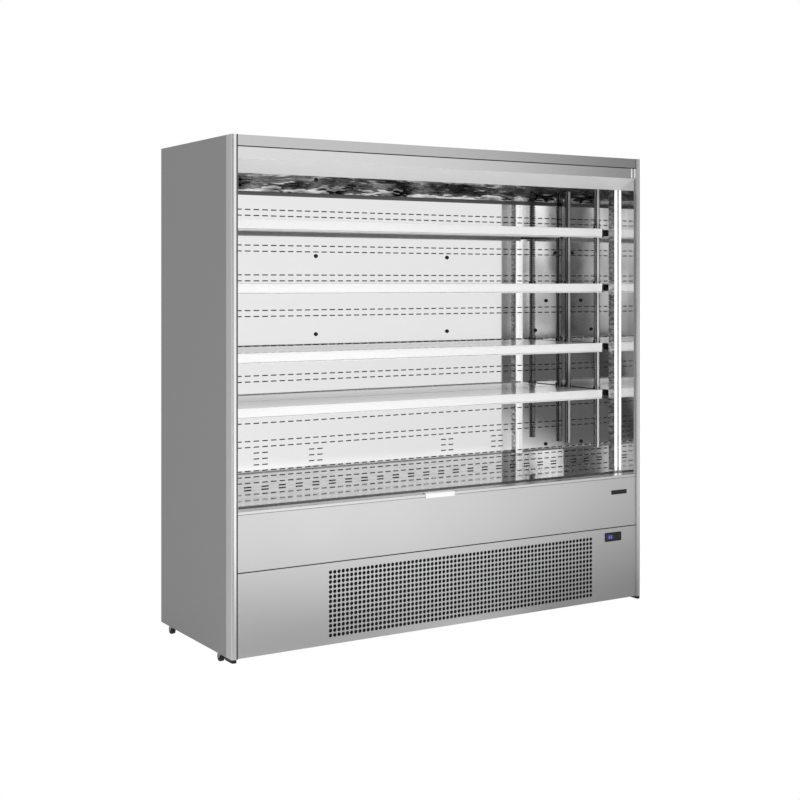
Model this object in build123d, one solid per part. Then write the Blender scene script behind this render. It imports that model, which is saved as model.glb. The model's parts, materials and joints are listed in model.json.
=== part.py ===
"""Open multideck display fridge, plug-in type, on four castors.

Millimetres, +Z up, X to the right and -Y to the front. The origin lies on the floor,
at the middle of the width and of the depth.
"""

from build123d import *
import math
import os

# ---- whole body ---------------------------------------------------------------------
BODY_WIDTH = 1914.0
BODY_DEPTH = 658.0
BODY_HEIGHT = 1867.0
FLOOR_GAP = 46.0
SHEET = 1.0
SKIN_RETURN = 12.0

# ---- insulated walls ----------------------------------------------------------------
WALL_THICKNESS = 29.0
REAR_FOAM = 40.0
ROOF_FOAM = 40.0
TANK_FOAM = 38.0

# ---- front corner profiles ----------------------------------------------------------
PROFILE_WIDTH = 18.0
PROFILE_DEPTH = 50.0
PROFILE_WALL = 2.0
PROFILE_RADIUS = 10.0
STRIP_RECESS = 12.0
STRIP_WALL = 2.0
PROFILE_FOOT_HEIGHT = 12.0
PROFILE_FOOT_DEPTH = 70.0
PROFILE_FOOT_INSET = 1.0

# ---- front panels -------------------------------------------------------------------
FASCIA_RECESS = 8.0
FASCIA_GAP = 5.0
PANEL_SEAM = 1.5
LOWER_PANEL_TOP = 303.0
TOP_FASCIA_HEIGHT = 40.0

# ---- air grille of the lower panel --------------------------------------------------
GRILLE_START = 403.0
GRILLE_END_INSET = 269.0
GRILLE_BOTTOM = 33.0
GRILLE_HEIGHT = 234.0
GRILLE_HOLE_DIAMETER = 28.0
GRILLE_COLUMNS = 16
GRILLE_ROWS = 4

# ---- controller in the lower panel --------------------------------------------------
CONTROL_INSET = 104.0
CONTROL_WIDTH = 88.0
CONTROL_BOTTOM = 247.0
CONTROL_HEIGHT = 37.0
CONTROL_PROUD = 2.5
CONTROL_DEPTH = 24.0
CONTROL_EDGE = 5.0
DISPLAY_WIDTH = 40.0
DISPLAY_HEIGHT = 20.0
DISPLAY_THICKNESS = 2.0
BUTTON_WIDTH = 9.0
BUTTON_HEIGHT = 14.0
BUTTON_PITCH = 12.0
BUTTON_COUNT = 3
BUTTON_PROUD = 1.2
BUTTON_LENGTH = 6.0
BUTTON_CLEARANCE = 0.3

# ---- front rail, return air grille and deck -----------------------------------------
DECK_HEIGHT = 522.0
RAIL_HEIGHT = 11.0
RAIL_TOP_DEPTH = 60.0
RAIL_LIP = 4.0
RETURN_GRILLE_DEPTH = 55.0
RETURN_SLOT_COUNT = 20
RETURN_SLOT_LENGTH = 60.0
RETURN_SLOT_WIDTH = 36.0
DECK_FLANGE = 15.0
CATCH_LENGTH = 116.0
CATCH_CLIP_LENGTH = 20.0
CATCH_HEIGHT = 19.0
CATCH_DEPTH = 22.0
CATCH_THICKNESS = 2.0

# ---- interior back panel ------------------------------------------------------------
INNER_DEPTH = 488.0
CEILING_DROP = 92.0
SLOT_LENGTH = 150.0
SLOT_HEIGHT = 7.0
SLOT_COLUMNS = 6
SLOT_SIDE_MARGIN = 95.0
SLOT_FIRST_ROW = 22.6
SLOT_ROW_PITCH = 23.57
SLOT_ROWS = (0, 6, 10, 17, 22, 28, 34, 39, 45)
KNOB_DIAMETER = 18.0
KNOB_HEIGHT = 6.0
KNOB_TAPER = 15.0
KNOB_SIDE_COUNT = 8
KNOB_MIDDLE_OFFSETS = (-356.0, 287.0)
KNOB_MIDDLE_DROPS = (17.0, 328.0, 646.0)
KNOB_RIGHT_PLACES = ((130.0, 64.0), (79.0, 301.0), (130.0, 518.0), (191.0, 651.0))
KNOB_LOW_INSET = 132.0
KNOB_LOW_RISE = 87.0

# ---- canopy -------------------------------------------------------------------------
CANOPY_FACE_HEIGHT = 43.0
CANOPY_UNDERSIDE_DEPTH = 95.0
CANOPY_UNDERSIDE_DROP = 44.0
DUCT_WALL_SETBACK = 110.0
HONEYCOMB_DEPTH = 54.0
HONEYCOMB_HEIGHT = 12.0
HONEYCOMB_CELLS = 20
HONEYCOMB_WALL = 4.0
HONEYCOMB_BORDER = 5.0

# ---- night blind --------------------------------------------------------------------
ROLLER_RADIUS = 19.0
ROLLER_RISE = 61.5
ROLLER_END_GAP = 12.0
ROLLER_PIN_RADIUS = 4.0
PIN_CLEARANCE = 0.05
BRACKET_THICKNESS = 3.0
BRACKET_HALF = 12.0
BRACKET_GAP = 0.5
BLIND_BAR_HEIGHT = 11.0
BLIND_BAR_THICKNESS = 5.0
BLIND_BAR_END_GAP = 26.0
BLIND_CLOTH_THICKNESS = 1.0
CLOTH_CLEARANCE = 0.3

# ---- shelves ------------------------------------------------------------------------
SHELF_DROPS = (904.0, 700.0, 441.0, 201.0)
SHELF_FRONT = 185.0
SHELF_END_GAP = 50.0
SHELF_BACK_GAP = 3.0
SHELF_SHEET = 1.5
SHELF_FLANGE = 28.0
PRICE_RAIL_HEIGHT = 37.0
PRICE_RAIL_DEPTH = 7.0
PRICE_RAIL_WALL = 1.5
PRICE_CAP_LENGTH = 4.0
SHELF_BELOW_RAIL = 3.0

# ---- toothed racks ------------------------------------------------------------------
RACK_RISE = 89.0
RACK_TOP_GAP = 24.0
RACK_THICKNESS = 12.0
RACK_TOOTH_DEPTH = 6.0
RACK_WIDTH = 17.0
RACK_TOOTH_PITCH = 50.0
RACK_NOTCH = 9.0
RACK_SETBACKS = (246.0, 447.0)
CLIP_THICKNESS = 2.5
CLIP_HEIGHT = 44.0
CLIP_TONGUE = 14.0

# ---- lamps --------------------------------------------------------------------------
LAMP_SETBACK = 113.0
LAMP_DIFFUSER_WIDTH = 15.0
LAMP_BODY_WIDTH = 24.0
LAMP_THICKNESS = 20.0
LAMP_BASE = 4.0
LAMP_TOP_GAP = 36.0
LAMP_FOOT_GAP = 3.0
LAMP_RADIUS = 5.0

# ---- evaporator tank and its fans ---------------------------------------------------
TANK_WALL_TOP_GAP = 1.0
FAN_PLATE_SETBACK = 230.0
FAN_PLATE_THICKNESS = 2.0
TANK_FAN_MARGIN = 19.5
TANK_FAN_OFFSET = 420.0
FAN_TIP_GAP = 3.0
FAN_SHAFT_RADIUS = 3.0
FAN_BLADES = 5
FAN_BLADE_PITCH = 28.0
FAN_BLADE_THICKNESS = 2.0
FAN_HUB_RADIUS = 18.0
FAN_HUB_LENGTH = 22.0
ROUND_SIDE_COUNT = 12
MOTOR_RADIUS = 30.0
MOTOR_LENGTH = 40.0
MOTOR_GAP = 3.0
ARM_WIDTH = 14.0
EVAPORATOR_SETBACK = 300.0
EVAPORATOR_DEPTH = 130.0
EVAPORATOR_TOP_GAP = 29.0
EVAPORATOR_LENGTH = 1560.0
EVAPORATOR_FINS = 16

# ---- condensing unit ----------------------------------------------------------------
BASE_PAN_THICKNESS = 2.0
BASE_PAN_UPSTAND = 24.0
CONDENSER_START = 430.0
CONDENSER_LENGTH = 420.0
CONDENSER_SETBACK = 62.0
CONDENSER_DEPTH = 66.0
CONDENSER_HEIGHT = 246.0
CONDENSER_FINS = 12
CONDENSER_FAN_RADIUS = 90.0
SHROUD_DEPTH = 24.0
COMPRESSOR_CENTRE = 1180.0
COMPRESSOR_SETBACK = 330.0
COMPRESSOR_RADIUS = 88.0
COMPRESSOR_HEIGHT = 190.0
COMPRESSOR_SHOULDER = 34.0
COMPRESSOR_SIDE_COUNT = 24
COMPRESSOR_FOOT = 230.0
COMPRESSOR_FOOT_THICKNESS = 4.0
GROMMET_RADIUS = 11.0
GROMMET_HEIGHT = 14.0
GROMMET_SIDE_COUNT = 8
COIL_PLATE = 3.0
TUBE_RADIUS = 5.0
TUBE_BEND_RADIUS = 14.0
COIL_BENDS = 2
FIN_FILL = 0.3
SPINE_FILL = 0.2

# ---- rear vents ---------------------------------------------------------------------
VENT_COLUMNS = 8
VENT_ROWS = 2
VENT_LENGTH = 100.0
VENT_HEIGHT = 9.0
VENT_PITCH_X = 150.0
VENT_PITCH_Z = 60.0
VENT_CENTRE_HEIGHT = 150.0

# ---- castors ------------------------------------------------------------------------
CASTOR_SIDE_INSET = 36.0
CASTOR_FRONT_SETBACK = 160.0
CASTOR_REAR_INSET = 38.0
WHEEL_RADIUS = 17.0
WHEEL_WIDTH = 16.0
WHEEL_EDGE = 1.5
CASTOR_TRAIL = 12.0
FORK_GAP = 1.0
FORK_SHEET = 1.5
FORK_TOP = 38.5
FORK_CROWN_RADIUS = 13.0
AXLE_RADIUS = 3.0
KINGPIN_RADIUS = 4.0
KINGPIN_HEAD_RADIUS = 7.0
KINGPIN_HEAD = 1.0
KINGPIN_SIDE_COUNT = 6
BEARING_RADIUS = 12.0
BEARING_GAP = 0.3
CASTOR_PLATE = 44.0
CASTOR_PLATE_THICKNESS = 2.5
CASTOR_PLATE_CORNER = 4.0

# ---- faces worked out from the sizes above ------------------------------------------
LEFT = -BODY_WIDTH / 2
RIGHT = BODY_WIDTH / 2
FRONT = -BODY_DEPTH / 2
BACK = BODY_DEPTH / 2
BASE = FLOOR_GAP
TOP = BASE + BODY_HEIGHT
INNER_RIGHT = RIGHT - WALL_THICKNESS
FASCIA_RIGHT = RIGHT - PROFILE_WIDTH - FASCIA_GAP
FASCIA_FACE = FRONT + FASCIA_RECESS
STRIP_FACE = FRONT + STRIP_RECESS
PROFILE_REAR = FRONT + PROFILE_DEPTH
REAR_SKIN_FRONT = BACK - SHEET
REAR_FOAM_FRONT = REAR_SKIN_FRONT - REAR_FOAM
DUCT_LINER_FRONT = REAR_FOAM_FRONT - SHEET
INNER_BACK = FRONT + INNER_DEPTH
ROOF_FOAM_BOTTOM = TOP - SHEET - ROOF_FOAM
DECK_TOP = BASE + DECK_HEIGHT
CEILING = TOP - CEILING_DROP
TANK_BOTTOM = BASE + LOWER_PANEL_TOP
TANK_FLOOR = TANK_BOTTOM + TANK_FOAM
TANK_FRONT = STRIP_FACE + TANK_FOAM
BASE_TOP = BASE + BASE_PAN_THICKNESS
SHELF_RAIL_TOPS = [CEILING - drop for drop in SHELF_DROPS]
CUT = 4 * SHEET


def block(x, y, z):
    """A plate or bar between two places along each axis."""
    place = Pos((x[0] + x[1]) / 2, (y[0] + y[1]) / 2, (z[0] + z[1]) / 2)
    return place * Box(x[1] - x[0], y[1] - y[0], z[1] - z[0])


def outline(points):
    return make_face(Polyline(*points, close=True))


def run_x(points, x_low, x_high):
    """A section drawn in Y and Z, run along X."""
    plane = Plane(origin=(x_low, 0, 0), x_dir=(0, 1, 0), z_dir=(1, 0, 0))
    return extrude(plane * outline(points), x_high - x_low)


def run_y(points, y_low, y_high):
    """A section drawn in X and Z, run along Y."""
    plane = Plane(origin=(0, y_low, 0), x_dir=(1, 0, 0), z_dir=(0, -1, 0))
    return extrude(plane * outline(points), -(y_high - y_low))


def run_z(points, z_low, z_high):
    """A section drawn in X and Y, run upwards."""
    return extrude(Pos(0, 0, z_low) * outline(points), z_high - z_low)


def rod(start, radius, length, direction):
    """A round bar from a point, along X, Y or Z."""
    plane = Plane(origin=start, z_dir=direction)
    return extrude(plane * Circle(radius), length)


def flat_sided(start, radius, sides, length, direction):
    """A many-sided bar from a point, along X, Y or Z."""
    plane = Plane(origin=start, z_dir=direction)
    return extrude(plane * RegularPolygon(radius, sides), length)


def other_side(solid):
    return mirror(solid, about=Plane.YZ)


def pair(solid):
    """The piece of the right side together with its mirror image."""
    return [solid, other_side(solid)]


def spread(count, low, high):
    """Centres of count equal fields between two places."""
    pitch = (high - low) / count
    return [low + pitch * (i + 0.5) for i in range(count)]


# ---- shell --------------------------------------------------------------------------
def side_panel():
    """Painted outer sheet of the right side, with a return along both upright edges."""
    y_low, y_high = PROFILE_REAR, REAR_SKIN_FRONT
    inner, lip = RIGHT - SHEET, RIGHT - SKIN_RETURN
    section = [
        (RIGHT, y_low), (lip, y_low), (lip, y_low + SHEET), (inner, y_low + SHEET),
        (inner, y_high - SHEET), (lip, y_high - SHEET), (lip, y_high), (RIGHT, y_high),
    ]
    return run_z(section, BASE, TOP)


def side_foam():
    x = (INNER_RIGHT + SHEET, RIGHT - SHEET)
    y = (PROFILE_REAR + SHEET, REAR_SKIN_FRONT - SHEET)
    return block(x, y, (BASE_TOP, TOP - SHEET))


def side_liner():
    x = (INNER_RIGHT, INNER_RIGHT + SHEET)
    return block(x, (PROFILE_REAR, REAR_SKIN_FRONT), (BASE_TOP, TOP - SHEET))


def corner_profile():
    """Hollow aluminium upright with one rounded front corner."""
    width, depth = PROFILE_WIDTH, PROFILE_DEPTH
    x, y = RIGHT - width / 2, FRONT + depth / 2
    outer = Pos(x, y) * Rectangle(width, depth)
    corner = outer.vertices().sort_by(Axis.X)[-2:].sort_by(Axis.Y)[0]
    outer = fillet(corner, PROFILE_RADIUS)
    inner = Pos(x, y) * Rectangle(width - 2 * PROFILE_WALL, depth - 2 * PROFILE_WALL)
    corner = inner.vertices().sort_by(Axis.X)[-2:].sort_by(Axis.Y)[0]
    inner = fillet(corner, PROFILE_RADIUS - PROFILE_WALL)
    return extrude(Pos(0, 0, BASE) * (outer - inner), BODY_HEIGHT)


def breaker_strip():
    """Plastic channel that closes the front edge of the wall beside the profile."""
    low, high = INNER_RIGHT, RIGHT - PROFILE_WIDTH
    rear, wall = PROFILE_REAR, STRIP_WALL
    section = [
        (low, STRIP_FACE), (high, STRIP_FACE), (high, rear), (high - wall, rear),
        (high - wall, STRIP_FACE + wall), (low + wall, STRIP_FACE + wall), (low + wall, rear),
        (low, rear),
    ]
    return run_z(section, BASE, TOP)


def profile_foot():
    """Plastic cap under the profile and the front of the side panel."""
    x_high = RIGHT - PROFILE_FOOT_INSET
    x_low = RIGHT - PROFILE_WIDTH
    y_low, y_high = FRONT + PROFILE_FOOT_INSET, FRONT + PROFILE_FOOT_DEPTH
    middle = Pos((x_low + x_high) / 2, (y_low + y_high) / 2)
    cap = middle * Rectangle(x_high - x_low, y_high - y_low)
    corner = cap.vertices().sort_by(Axis.X)[-2:].sort_by(Axis.Y)[0]
    cap = fillet(corner, PROFILE_RADIUS - PROFILE_FOOT_INSET)
    foot = extrude(Pos(0, 0, BASE - PROFILE_FOOT_HEIGHT) * cap, PROFILE_FOOT_HEIGHT)
    rear = foot.edges().filter_by(Axis.X).sort_by(Axis.Z)[:2].sort_by(Axis.Y)[-1]
    return chamfer(rear, PROFILE_FOOT_HEIGHT - SHEET)


def rear_skin():
    """Rear sheet with rows of air vents behind the condensing unit."""
    skin = block((LEFT, RIGHT), (REAR_SKIN_FRONT, BACK), (BASE, TOP))
    span_x, span_z = VENT_COLUMNS * VENT_PITCH_X, VENT_ROWS * VENT_PITCH_Z
    middle = BASE + VENT_CENTRE_HEIGHT
    for z in spread(VENT_ROWS, middle - span_z / 2, middle + span_z / 2):
        for x in spread(VENT_COLUMNS, -span_x / 2, span_x / 2):
            skin -= Pos(x, BACK, z) * Box(VENT_LENGTH, CUT, VENT_HEIGHT)
    return skin


def rear_foam():
    z = (TANK_BOTTOM, TOP - SHEET)
    return block((-INNER_RIGHT, INNER_RIGHT), (REAR_FOAM_FRONT, REAR_SKIN_FRONT), z)


def roof_foam():
    z = (ROOF_FOAM_BOTTOM, TOP - SHEET)
    return block((-INNER_RIGHT, INNER_RIGHT), (PROFILE_REAR, REAR_FOAM_FRONT), z)


def roof_skin():
    z = (TOP - SHEET, TOP)
    roof = block((LEFT + SHEET, RIGHT - SHEET), (PROFILE_REAR + SHEET, REAR_SKIN_FRONT - SHEET), z)
    lip = RIGHT - SKIN_RETURN
    return roof + block((-lip, lip), (PROFILE_REAR, REAR_SKIN_FRONT), z)


def top_fascia():
    """Folded strip over the canopy, with a return over the front edge of the roof."""
    bottom = TOP - TOP_FASCIA_HEIGHT
    face = [
        (FASCIA_FACE, bottom), (STRIP_FACE, bottom), (STRIP_FACE, bottom + SHEET),
        (FASCIA_FACE + SHEET, bottom + SHEET), (FASCIA_FACE + SHEET, TOP - SHEET),
        (STRIP_FACE, TOP - SHEET), (STRIP_FACE, TOP), (FASCIA_FACE, TOP),
    ]
    cover = block((-INNER_RIGHT, INNER_RIGHT), (STRIP_FACE, PROFILE_REAR), (TOP - SHEET, TOP))
    return run_x(face, -FASCIA_RIGHT, FASCIA_RIGHT) + cover


# ---- canopy -------------------------------------------------------------------------
CANOPY_TOP = TOP - TOP_FASCIA_HEIGHT - PANEL_SEAM
CANOPY_BEND = CANOPY_TOP - CANOPY_FACE_HEIGHT
CANOPY_REAR = FASCIA_FACE + CANOPY_UNDERSIDE_DEPTH
CANOPY_BOTTOM = CANOPY_BEND - CANOPY_UNDERSIDE_DROP
DUCT_WALL_FRONT = FRONT + DUCT_WALL_SETBACK
HONEYCOMB_FRONT = DUCT_WALL_FRONT + SHEET
HONEYCOMB_REAR = HONEYCOMB_FRONT + HONEYCOMB_DEPTH


def canopy_cover():
    """Folded cover with an upright face and an underside that slants back and down."""
    rise = CANOPY_UNDERSIDE_DROP / CANOPY_UNDERSIDE_DEPTH
    slant = SHEET * math.hypot(1.0, rise)
    inside = FASCIA_FACE + SHEET
    step = (STRIP_FACE - FASCIA_FACE) * rise
    face = [
        (FASCIA_FACE, CANOPY_TOP), (FASCIA_FACE, CANOPY_BEND), (STRIP_FACE, CANOPY_BEND - step),
        (STRIP_FACE, CANOPY_BEND - step + slant), (inside, CANOPY_BEND + slant),
        (inside, CANOPY_TOP - SHEET), (STRIP_FACE, CANOPY_TOP - SHEET), (STRIP_FACE, CANOPY_TOP),
    ]
    underside = [
        (STRIP_FACE, CANOPY_BEND - step), (CANOPY_REAR, CANOPY_BOTTOM),
        (CANOPY_REAR, CANOPY_BOTTOM + slant), (STRIP_FACE, CANOPY_BEND - step + slant),
    ]
    wide = run_x(face, -FASCIA_RIGHT, FASCIA_RIGHT)
    return wide + run_x(underside, -INNER_RIGHT, INNER_RIGHT)


def duct_front_wall():
    """Upright wall between the canopy and the supply duct, with a foot for the honeycomb."""
    y = (DUCT_WALL_FRONT, HONEYCOMB_FRONT)
    wall = block((-INNER_RIGHT, INNER_RIGHT), y, (CEILING - HONEYCOMB_HEIGHT - SHEET, ROOF_FOAM_BOTTOM))
    z = (CEILING - HONEYCOMB_HEIGHT - SHEET, CEILING - HONEYCOMB_HEIGHT)
    y = (HONEYCOMB_FRONT, HONEYCOMB_FRONT + HONEYCOMB_BORDER - SHEET)
    foot = block((-INNER_RIGHT, INNER_RIGHT), y, z)
    return wall + foot


def honeycomb_outlet():
    """Grid that straightens the cold air curtain."""
    z = (CEILING - HONEYCOMB_HEIGHT, CEILING)
    grid = block((-INNER_RIGHT, INNER_RIGHT), (HONEYCOMB_FRONT, HONEYCOMB_REAR), z)
    pitch = 2 * INNER_RIGHT / HONEYCOMB_CELLS
    y = (HONEYCOMB_FRONT + HONEYCOMB_BORDER, HONEYCOMB_REAR - HONEYCOMB_BORDER)
    for x in spread(HONEYCOMB_CELLS, -INNER_RIGHT, INNER_RIGHT):
        half = (pitch - HONEYCOMB_WALL) / 2
        grid -= block((x - half, x + half), y, (z[0] - SHEET, z[1] + SHEET))
    return grid


def ceiling_panel():
    """Interior ceiling, with a return at its front edge that carries the honeycomb."""
    y = (HONEYCOMB_REAR, INNER_BACK + SHEET)
    ceiling = block((-INNER_RIGHT, INNER_RIGHT), y, (CEILING, CEILING + SHEET))
    y = (HONEYCOMB_REAR, HONEYCOMB_REAR + SHEET)
    lip = block((-INNER_RIGHT, INNER_RIGHT), y, (CEILING - HONEYCOMB_HEIGHT - SHEET, CEILING))
    z = (CEILING - HONEYCOMB_HEIGHT - SHEET, CEILING - HONEYCOMB_HEIGHT)
    y = (HONEYCOMB_REAR - HONEYCOMB_BORDER + SHEET, HONEYCOMB_REAR)
    foot = block((-INNER_RIGHT, INNER_RIGHT), y, z)
    return ceiling + lip + foot


# ---- night blind --------------------------------------------------------------------
BLIND_BAR_REAR = DUCT_WALL_FRONT - SHEET
BLIND_BAR_FRONT = BLIND_BAR_REAR - BLIND_BAR_THICKNESS
CLOTH_CENTRE = (BLIND_BAR_FRONT + BLIND_BAR_REAR) / 2
CLOTH_FRONT = CLOTH_CENTRE - BLIND_CLOTH_THICKNESS / 2
ROLLER_Y = CLOTH_FRONT - CLOTH_CLEARANCE - ROLLER_RADIUS
ROLLER_Z = CANOPY_BOTTOM + ROLLER_RISE
ROLLER_HALF = INNER_RIGHT - ROLLER_END_GAP
BLIND_BAR_HALF = INNER_RIGHT - BLIND_BAR_END_GAP


def blind_roller():
    """Wound roller of the night blind, with a pin at both ends."""
    roll = rod((-ROLLER_HALF, ROLLER_Y, ROLLER_Z), ROLLER_RADIUS, 2 * ROLLER_HALF, (1, 0, 0))
    pin_length = INNER_RIGHT - BRACKET_GAP - ROLLER_HALF
    pin = rod((ROLLER_HALF, ROLLER_Y, ROLLER_Z), ROLLER_PIN_RADIUS, pin_length, (1, 0, 0))
    return [roll, *pair(pin)]


def roller_bracket():
    """Plate on the right liner that carries the roller's pin."""
    x = (INNER_RIGHT - BRACKET_THICKNESS, INNER_RIGHT)
    y = (ROLLER_Y - BRACKET_HALF, ROLLER_Y + BRACKET_HALF)
    plate = block(x, y, (ROLLER_Z - BRACKET_HALF, ROLLER_Z + BRACKET_HALF))
    start = (x[0], ROLLER_Y, ROLLER_Z)
    hole = rod(start, ROLLER_PIN_RADIUS + PIN_CLEARANCE, BRACKET_THICKNESS, (1, 0, 0))
    return plate - hole


def blind_bar():
    """Pull bar of the night blind, parked behind the canopy's lower edge."""
    bottom, top = CANOPY_BOTTOM, CANOPY_BOTTOM + BLIND_BAR_HEIGHT
    nose = BLIND_BAR_THICKNESS / 2
    section = [
        (CLOTH_CENTRE, bottom), (BLIND_BAR_REAR, bottom + nose), (BLIND_BAR_REAR, top),
        (BLIND_BAR_FRONT, top), (BLIND_BAR_FRONT, bottom + nose),
    ]
    return run_x(section, -BLIND_BAR_HALF, BLIND_BAR_HALF)


def blind_cloth():
    """Free stretch of blind between the roller and the pull bar."""
    y = (CLOTH_FRONT, CLOTH_FRONT + BLIND_CLOTH_THICKNESS)
    return block((-BLIND_BAR_HALF, BLIND_BAR_HALF), y, (CANOPY_BOTTOM + BLIND_BAR_HEIGHT, ROLLER_Z))


# ---- interior -----------------------------------------------------------------------
def duct_liner():
    z = (TANK_FLOOR, ROOF_FOAM_BOTTOM)
    return block((-INNER_RIGHT, INNER_RIGHT), (DUCT_LINER_FRONT, REAR_FOAM_FRONT), z)


def back_panel():
    """Mirror-finish back panel with rows of supply air slots."""
    y = (INNER_BACK, INNER_BACK + SHEET)
    panel = block((-INNER_RIGHT, INNER_RIGHT), y, (DECK_TOP - SHEET, CEILING))
    half = INNER_RIGHT - SLOT_SIDE_MARGIN
    for row in SLOT_ROWS:
        z = DECK_TOP + SLOT_FIRST_ROW + row * SLOT_ROW_PITCH
        for x in spread(SLOT_COLUMNS, -half, half):
            panel -= Pos(x, INNER_BACK, z) * Box(SLOT_LENGTH, CUT, SLOT_HEIGHT)
    return panel


def panel_knobs():
    """Black fixings, drawn with eight flats, that hold the back panel."""
    places = [(x, CEILING - drop) for x in KNOB_MIDDLE_OFFSETS for drop in KNOB_MIDDLE_DROPS]
    places += [(RIGHT - inset, CEILING - drop) for inset, drop in KNOB_RIGHT_PLACES]
    places.append((RIGHT - KNOB_LOW_INSET, DECK_TOP + KNOB_LOW_RISE))
    knobs = []
    for x, z in places:
        plane = Plane(origin=(x, INNER_BACK, z), z_dir=(0, -1, 0))
        face = plane * RegularPolygon(KNOB_DIAMETER / 2, KNOB_SIDE_COUNT)
        knobs.append(extrude(face, KNOB_HEIGHT, taper=KNOB_TAPER))
    return knobs


RAIL_TOP = DECK_TOP - TANK_WALL_TOP_GAP
RAIL_REAR = FRONT + RAIL_TOP_DEPTH
RETURN_REAR = RAIL_REAR + RETURN_GRILLE_DEPTH


def deck_panel():
    """Mirror-finish deck with a flange turned down at its front edge."""
    sheet = (DECK_TOP - SHEET, DECK_TOP)
    top = block((-INNER_RIGHT, INNER_RIGHT), (RETURN_REAR, INNER_BACK), sheet)
    x = (-INNER_RIGHT + SHEET, INNER_RIGHT - SHEET)
    flange = block(x, (RETURN_REAR, RETURN_REAR + SHEET), (DECK_TOP - DECK_FLANGE, DECK_TOP - SHEET))
    return top + flange


def return_grille():
    """Perforated strip where the air curtain goes back under the deck."""
    sheet = (DECK_TOP - SHEET, DECK_TOP)
    strip = block((-INNER_RIGHT, INNER_RIGHT), (RAIL_REAR, RETURN_REAR), sheet)
    y = (RAIL_REAR + RETURN_REAR) / 2
    for x in spread(RETURN_SLOT_COUNT, -INNER_RIGHT, INNER_RIGHT):
        strip -= Pos(x, y, DECK_TOP) * Box(RETURN_SLOT_LENGTH, RETURN_SLOT_WIDTH, CUT)
    return strip


def front_rail():
    """Aluminium lip along the front edge of the deck."""
    low = DECK_TOP - RAIL_HEIGHT
    nose = [
        (FASCIA_FACE, low), (STRIP_FACE, low), (STRIP_FACE, DECK_TOP),
        (FASCIA_FACE + SHEET, DECK_TOP), (FASCIA_FACE, DECK_TOP - SHEET),
    ]
    shelf = [
        (STRIP_FACE, low), (STRIP_FACE + RAIL_LIP, low), (STRIP_FACE + RAIL_LIP, DECK_TOP - 2 * SHEET),
        (RAIL_REAR, DECK_TOP - 2 * SHEET), (RAIL_REAR, DECK_TOP), (STRIP_FACE, DECK_TOP),
    ]
    return run_x(nose, -FASCIA_RIGHT, FASCIA_RIGHT) + run_x(shelf, -INNER_RIGHT, INNER_RIGHT)


def rail_catch():
    """Catch for the night blind: a bent plate over the rail and a small clip beside it."""
    high = DECK_TOP + CATCH_THICKNESS
    face = FASCIA_FACE - CATCH_THICKNESS
    section = [
        (face, high - CATCH_HEIGHT), (FASCIA_FACE, high - CATCH_HEIGHT), (FASCIA_FACE, DECK_TOP),
        (face + CATCH_DEPTH, DECK_TOP), (face + CATCH_DEPTH, high), (face, high),
    ]
    plate = run_x(section, -CATCH_LENGTH, 0)
    clip = run_x(section, -CATCH_LENGTH - CATCH_CLIP_LENGTH, -CATCH_LENGTH)
    return [plate, clip]


# ---- shelves, racks and lamps -------------------------------------------------------
SHELF_HALF = INNER_RIGHT - (SHELF_END_GAP - WALL_THICKNESS)
RACK_FACE = INNER_RIGHT - RACK_THICKNESS
LAMP_LOW = DECK_TOP + LAMP_FOOT_GAP
LAMP_HIGH = CEILING - LAMP_TOP_GAP


def shelf(rail_top):
    """Shelf plate with a flange under each edge, on four clips that hang in the racks."""
    high = rail_top - SHELF_BELOW_RAIL
    low, under = high - SHELF_FLANGE, high - SHELF_SHEET
    front, rear = FRONT + SHELF_FRONT + PRICE_RAIL_DEPTH, INNER_BACK - SHELF_BACK_GAP
    x, drop = (-SHELF_HALF, SHELF_HALF), (low, under)
    solids = [block(x, (front, rear), (under, high))]
    solids.append(block(x, (front, front + SHELF_SHEET), drop))
    solids.append(block(x, (rear - SHELF_SHEET, rear), drop))
    end = (SHELF_HALF - SHELF_SHEET, SHELF_HALF)
    solids += pair(block(end, (front + SHELF_SHEET, rear - SHELF_SHEET), drop))
    for setback in RACK_SETBACKS:
        solids += pair(shelf_clip(FRONT + setback, low))
    return solids


def shelf_clip(y_low, shelf_low):
    """Bent clip: upright on the rack's teeth and a tongue under the shelf's flange."""
    tip = SHELF_HALF - CLIP_TONGUE
    low = shelf_low - CLIP_THICKNESS
    section = [
        (tip, low), (RACK_FACE, low), (RACK_FACE, low + CLIP_HEIGHT),
        (RACK_FACE - CLIP_THICKNESS, low + CLIP_HEIGHT), (RACK_FACE - CLIP_THICKNESS, shelf_low),
        (tip, shelf_low),
    ]
    return run_y(section, y_low, y_low + RACK_WIDTH)


def price_rail(high):
    """Ticket channel along the shelf's front edge, with an end cap at both ends."""
    low = high - PRICE_RAIL_HEIGHT
    rear = FRONT + SHELF_FRONT + PRICE_RAIL_DEPTH
    front = rear - PRICE_RAIL_DEPTH
    wall = PRICE_RAIL_WALL
    section = [
        (front, low), (front + 2 * wall, low), (front + 2 * wall, low + wall),
        (rear - wall, low + 2 * wall), (rear - wall, high - wall), (front + wall, high - wall),
        (front + wall, high - 3 * wall), (front, high - 3 * wall), (front, high), (rear, high),
        (rear, low + wall), (front + 2 * wall, low - wall), (front, low - wall),
    ]
    half = SHELF_HALF - PRICE_CAP_LENGTH
    rail = run_x(section, -half, half)
    cap = block((half, SHELF_HALF), (front, rear), (low - wall, high))
    return [rail] + pair(cap)


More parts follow.
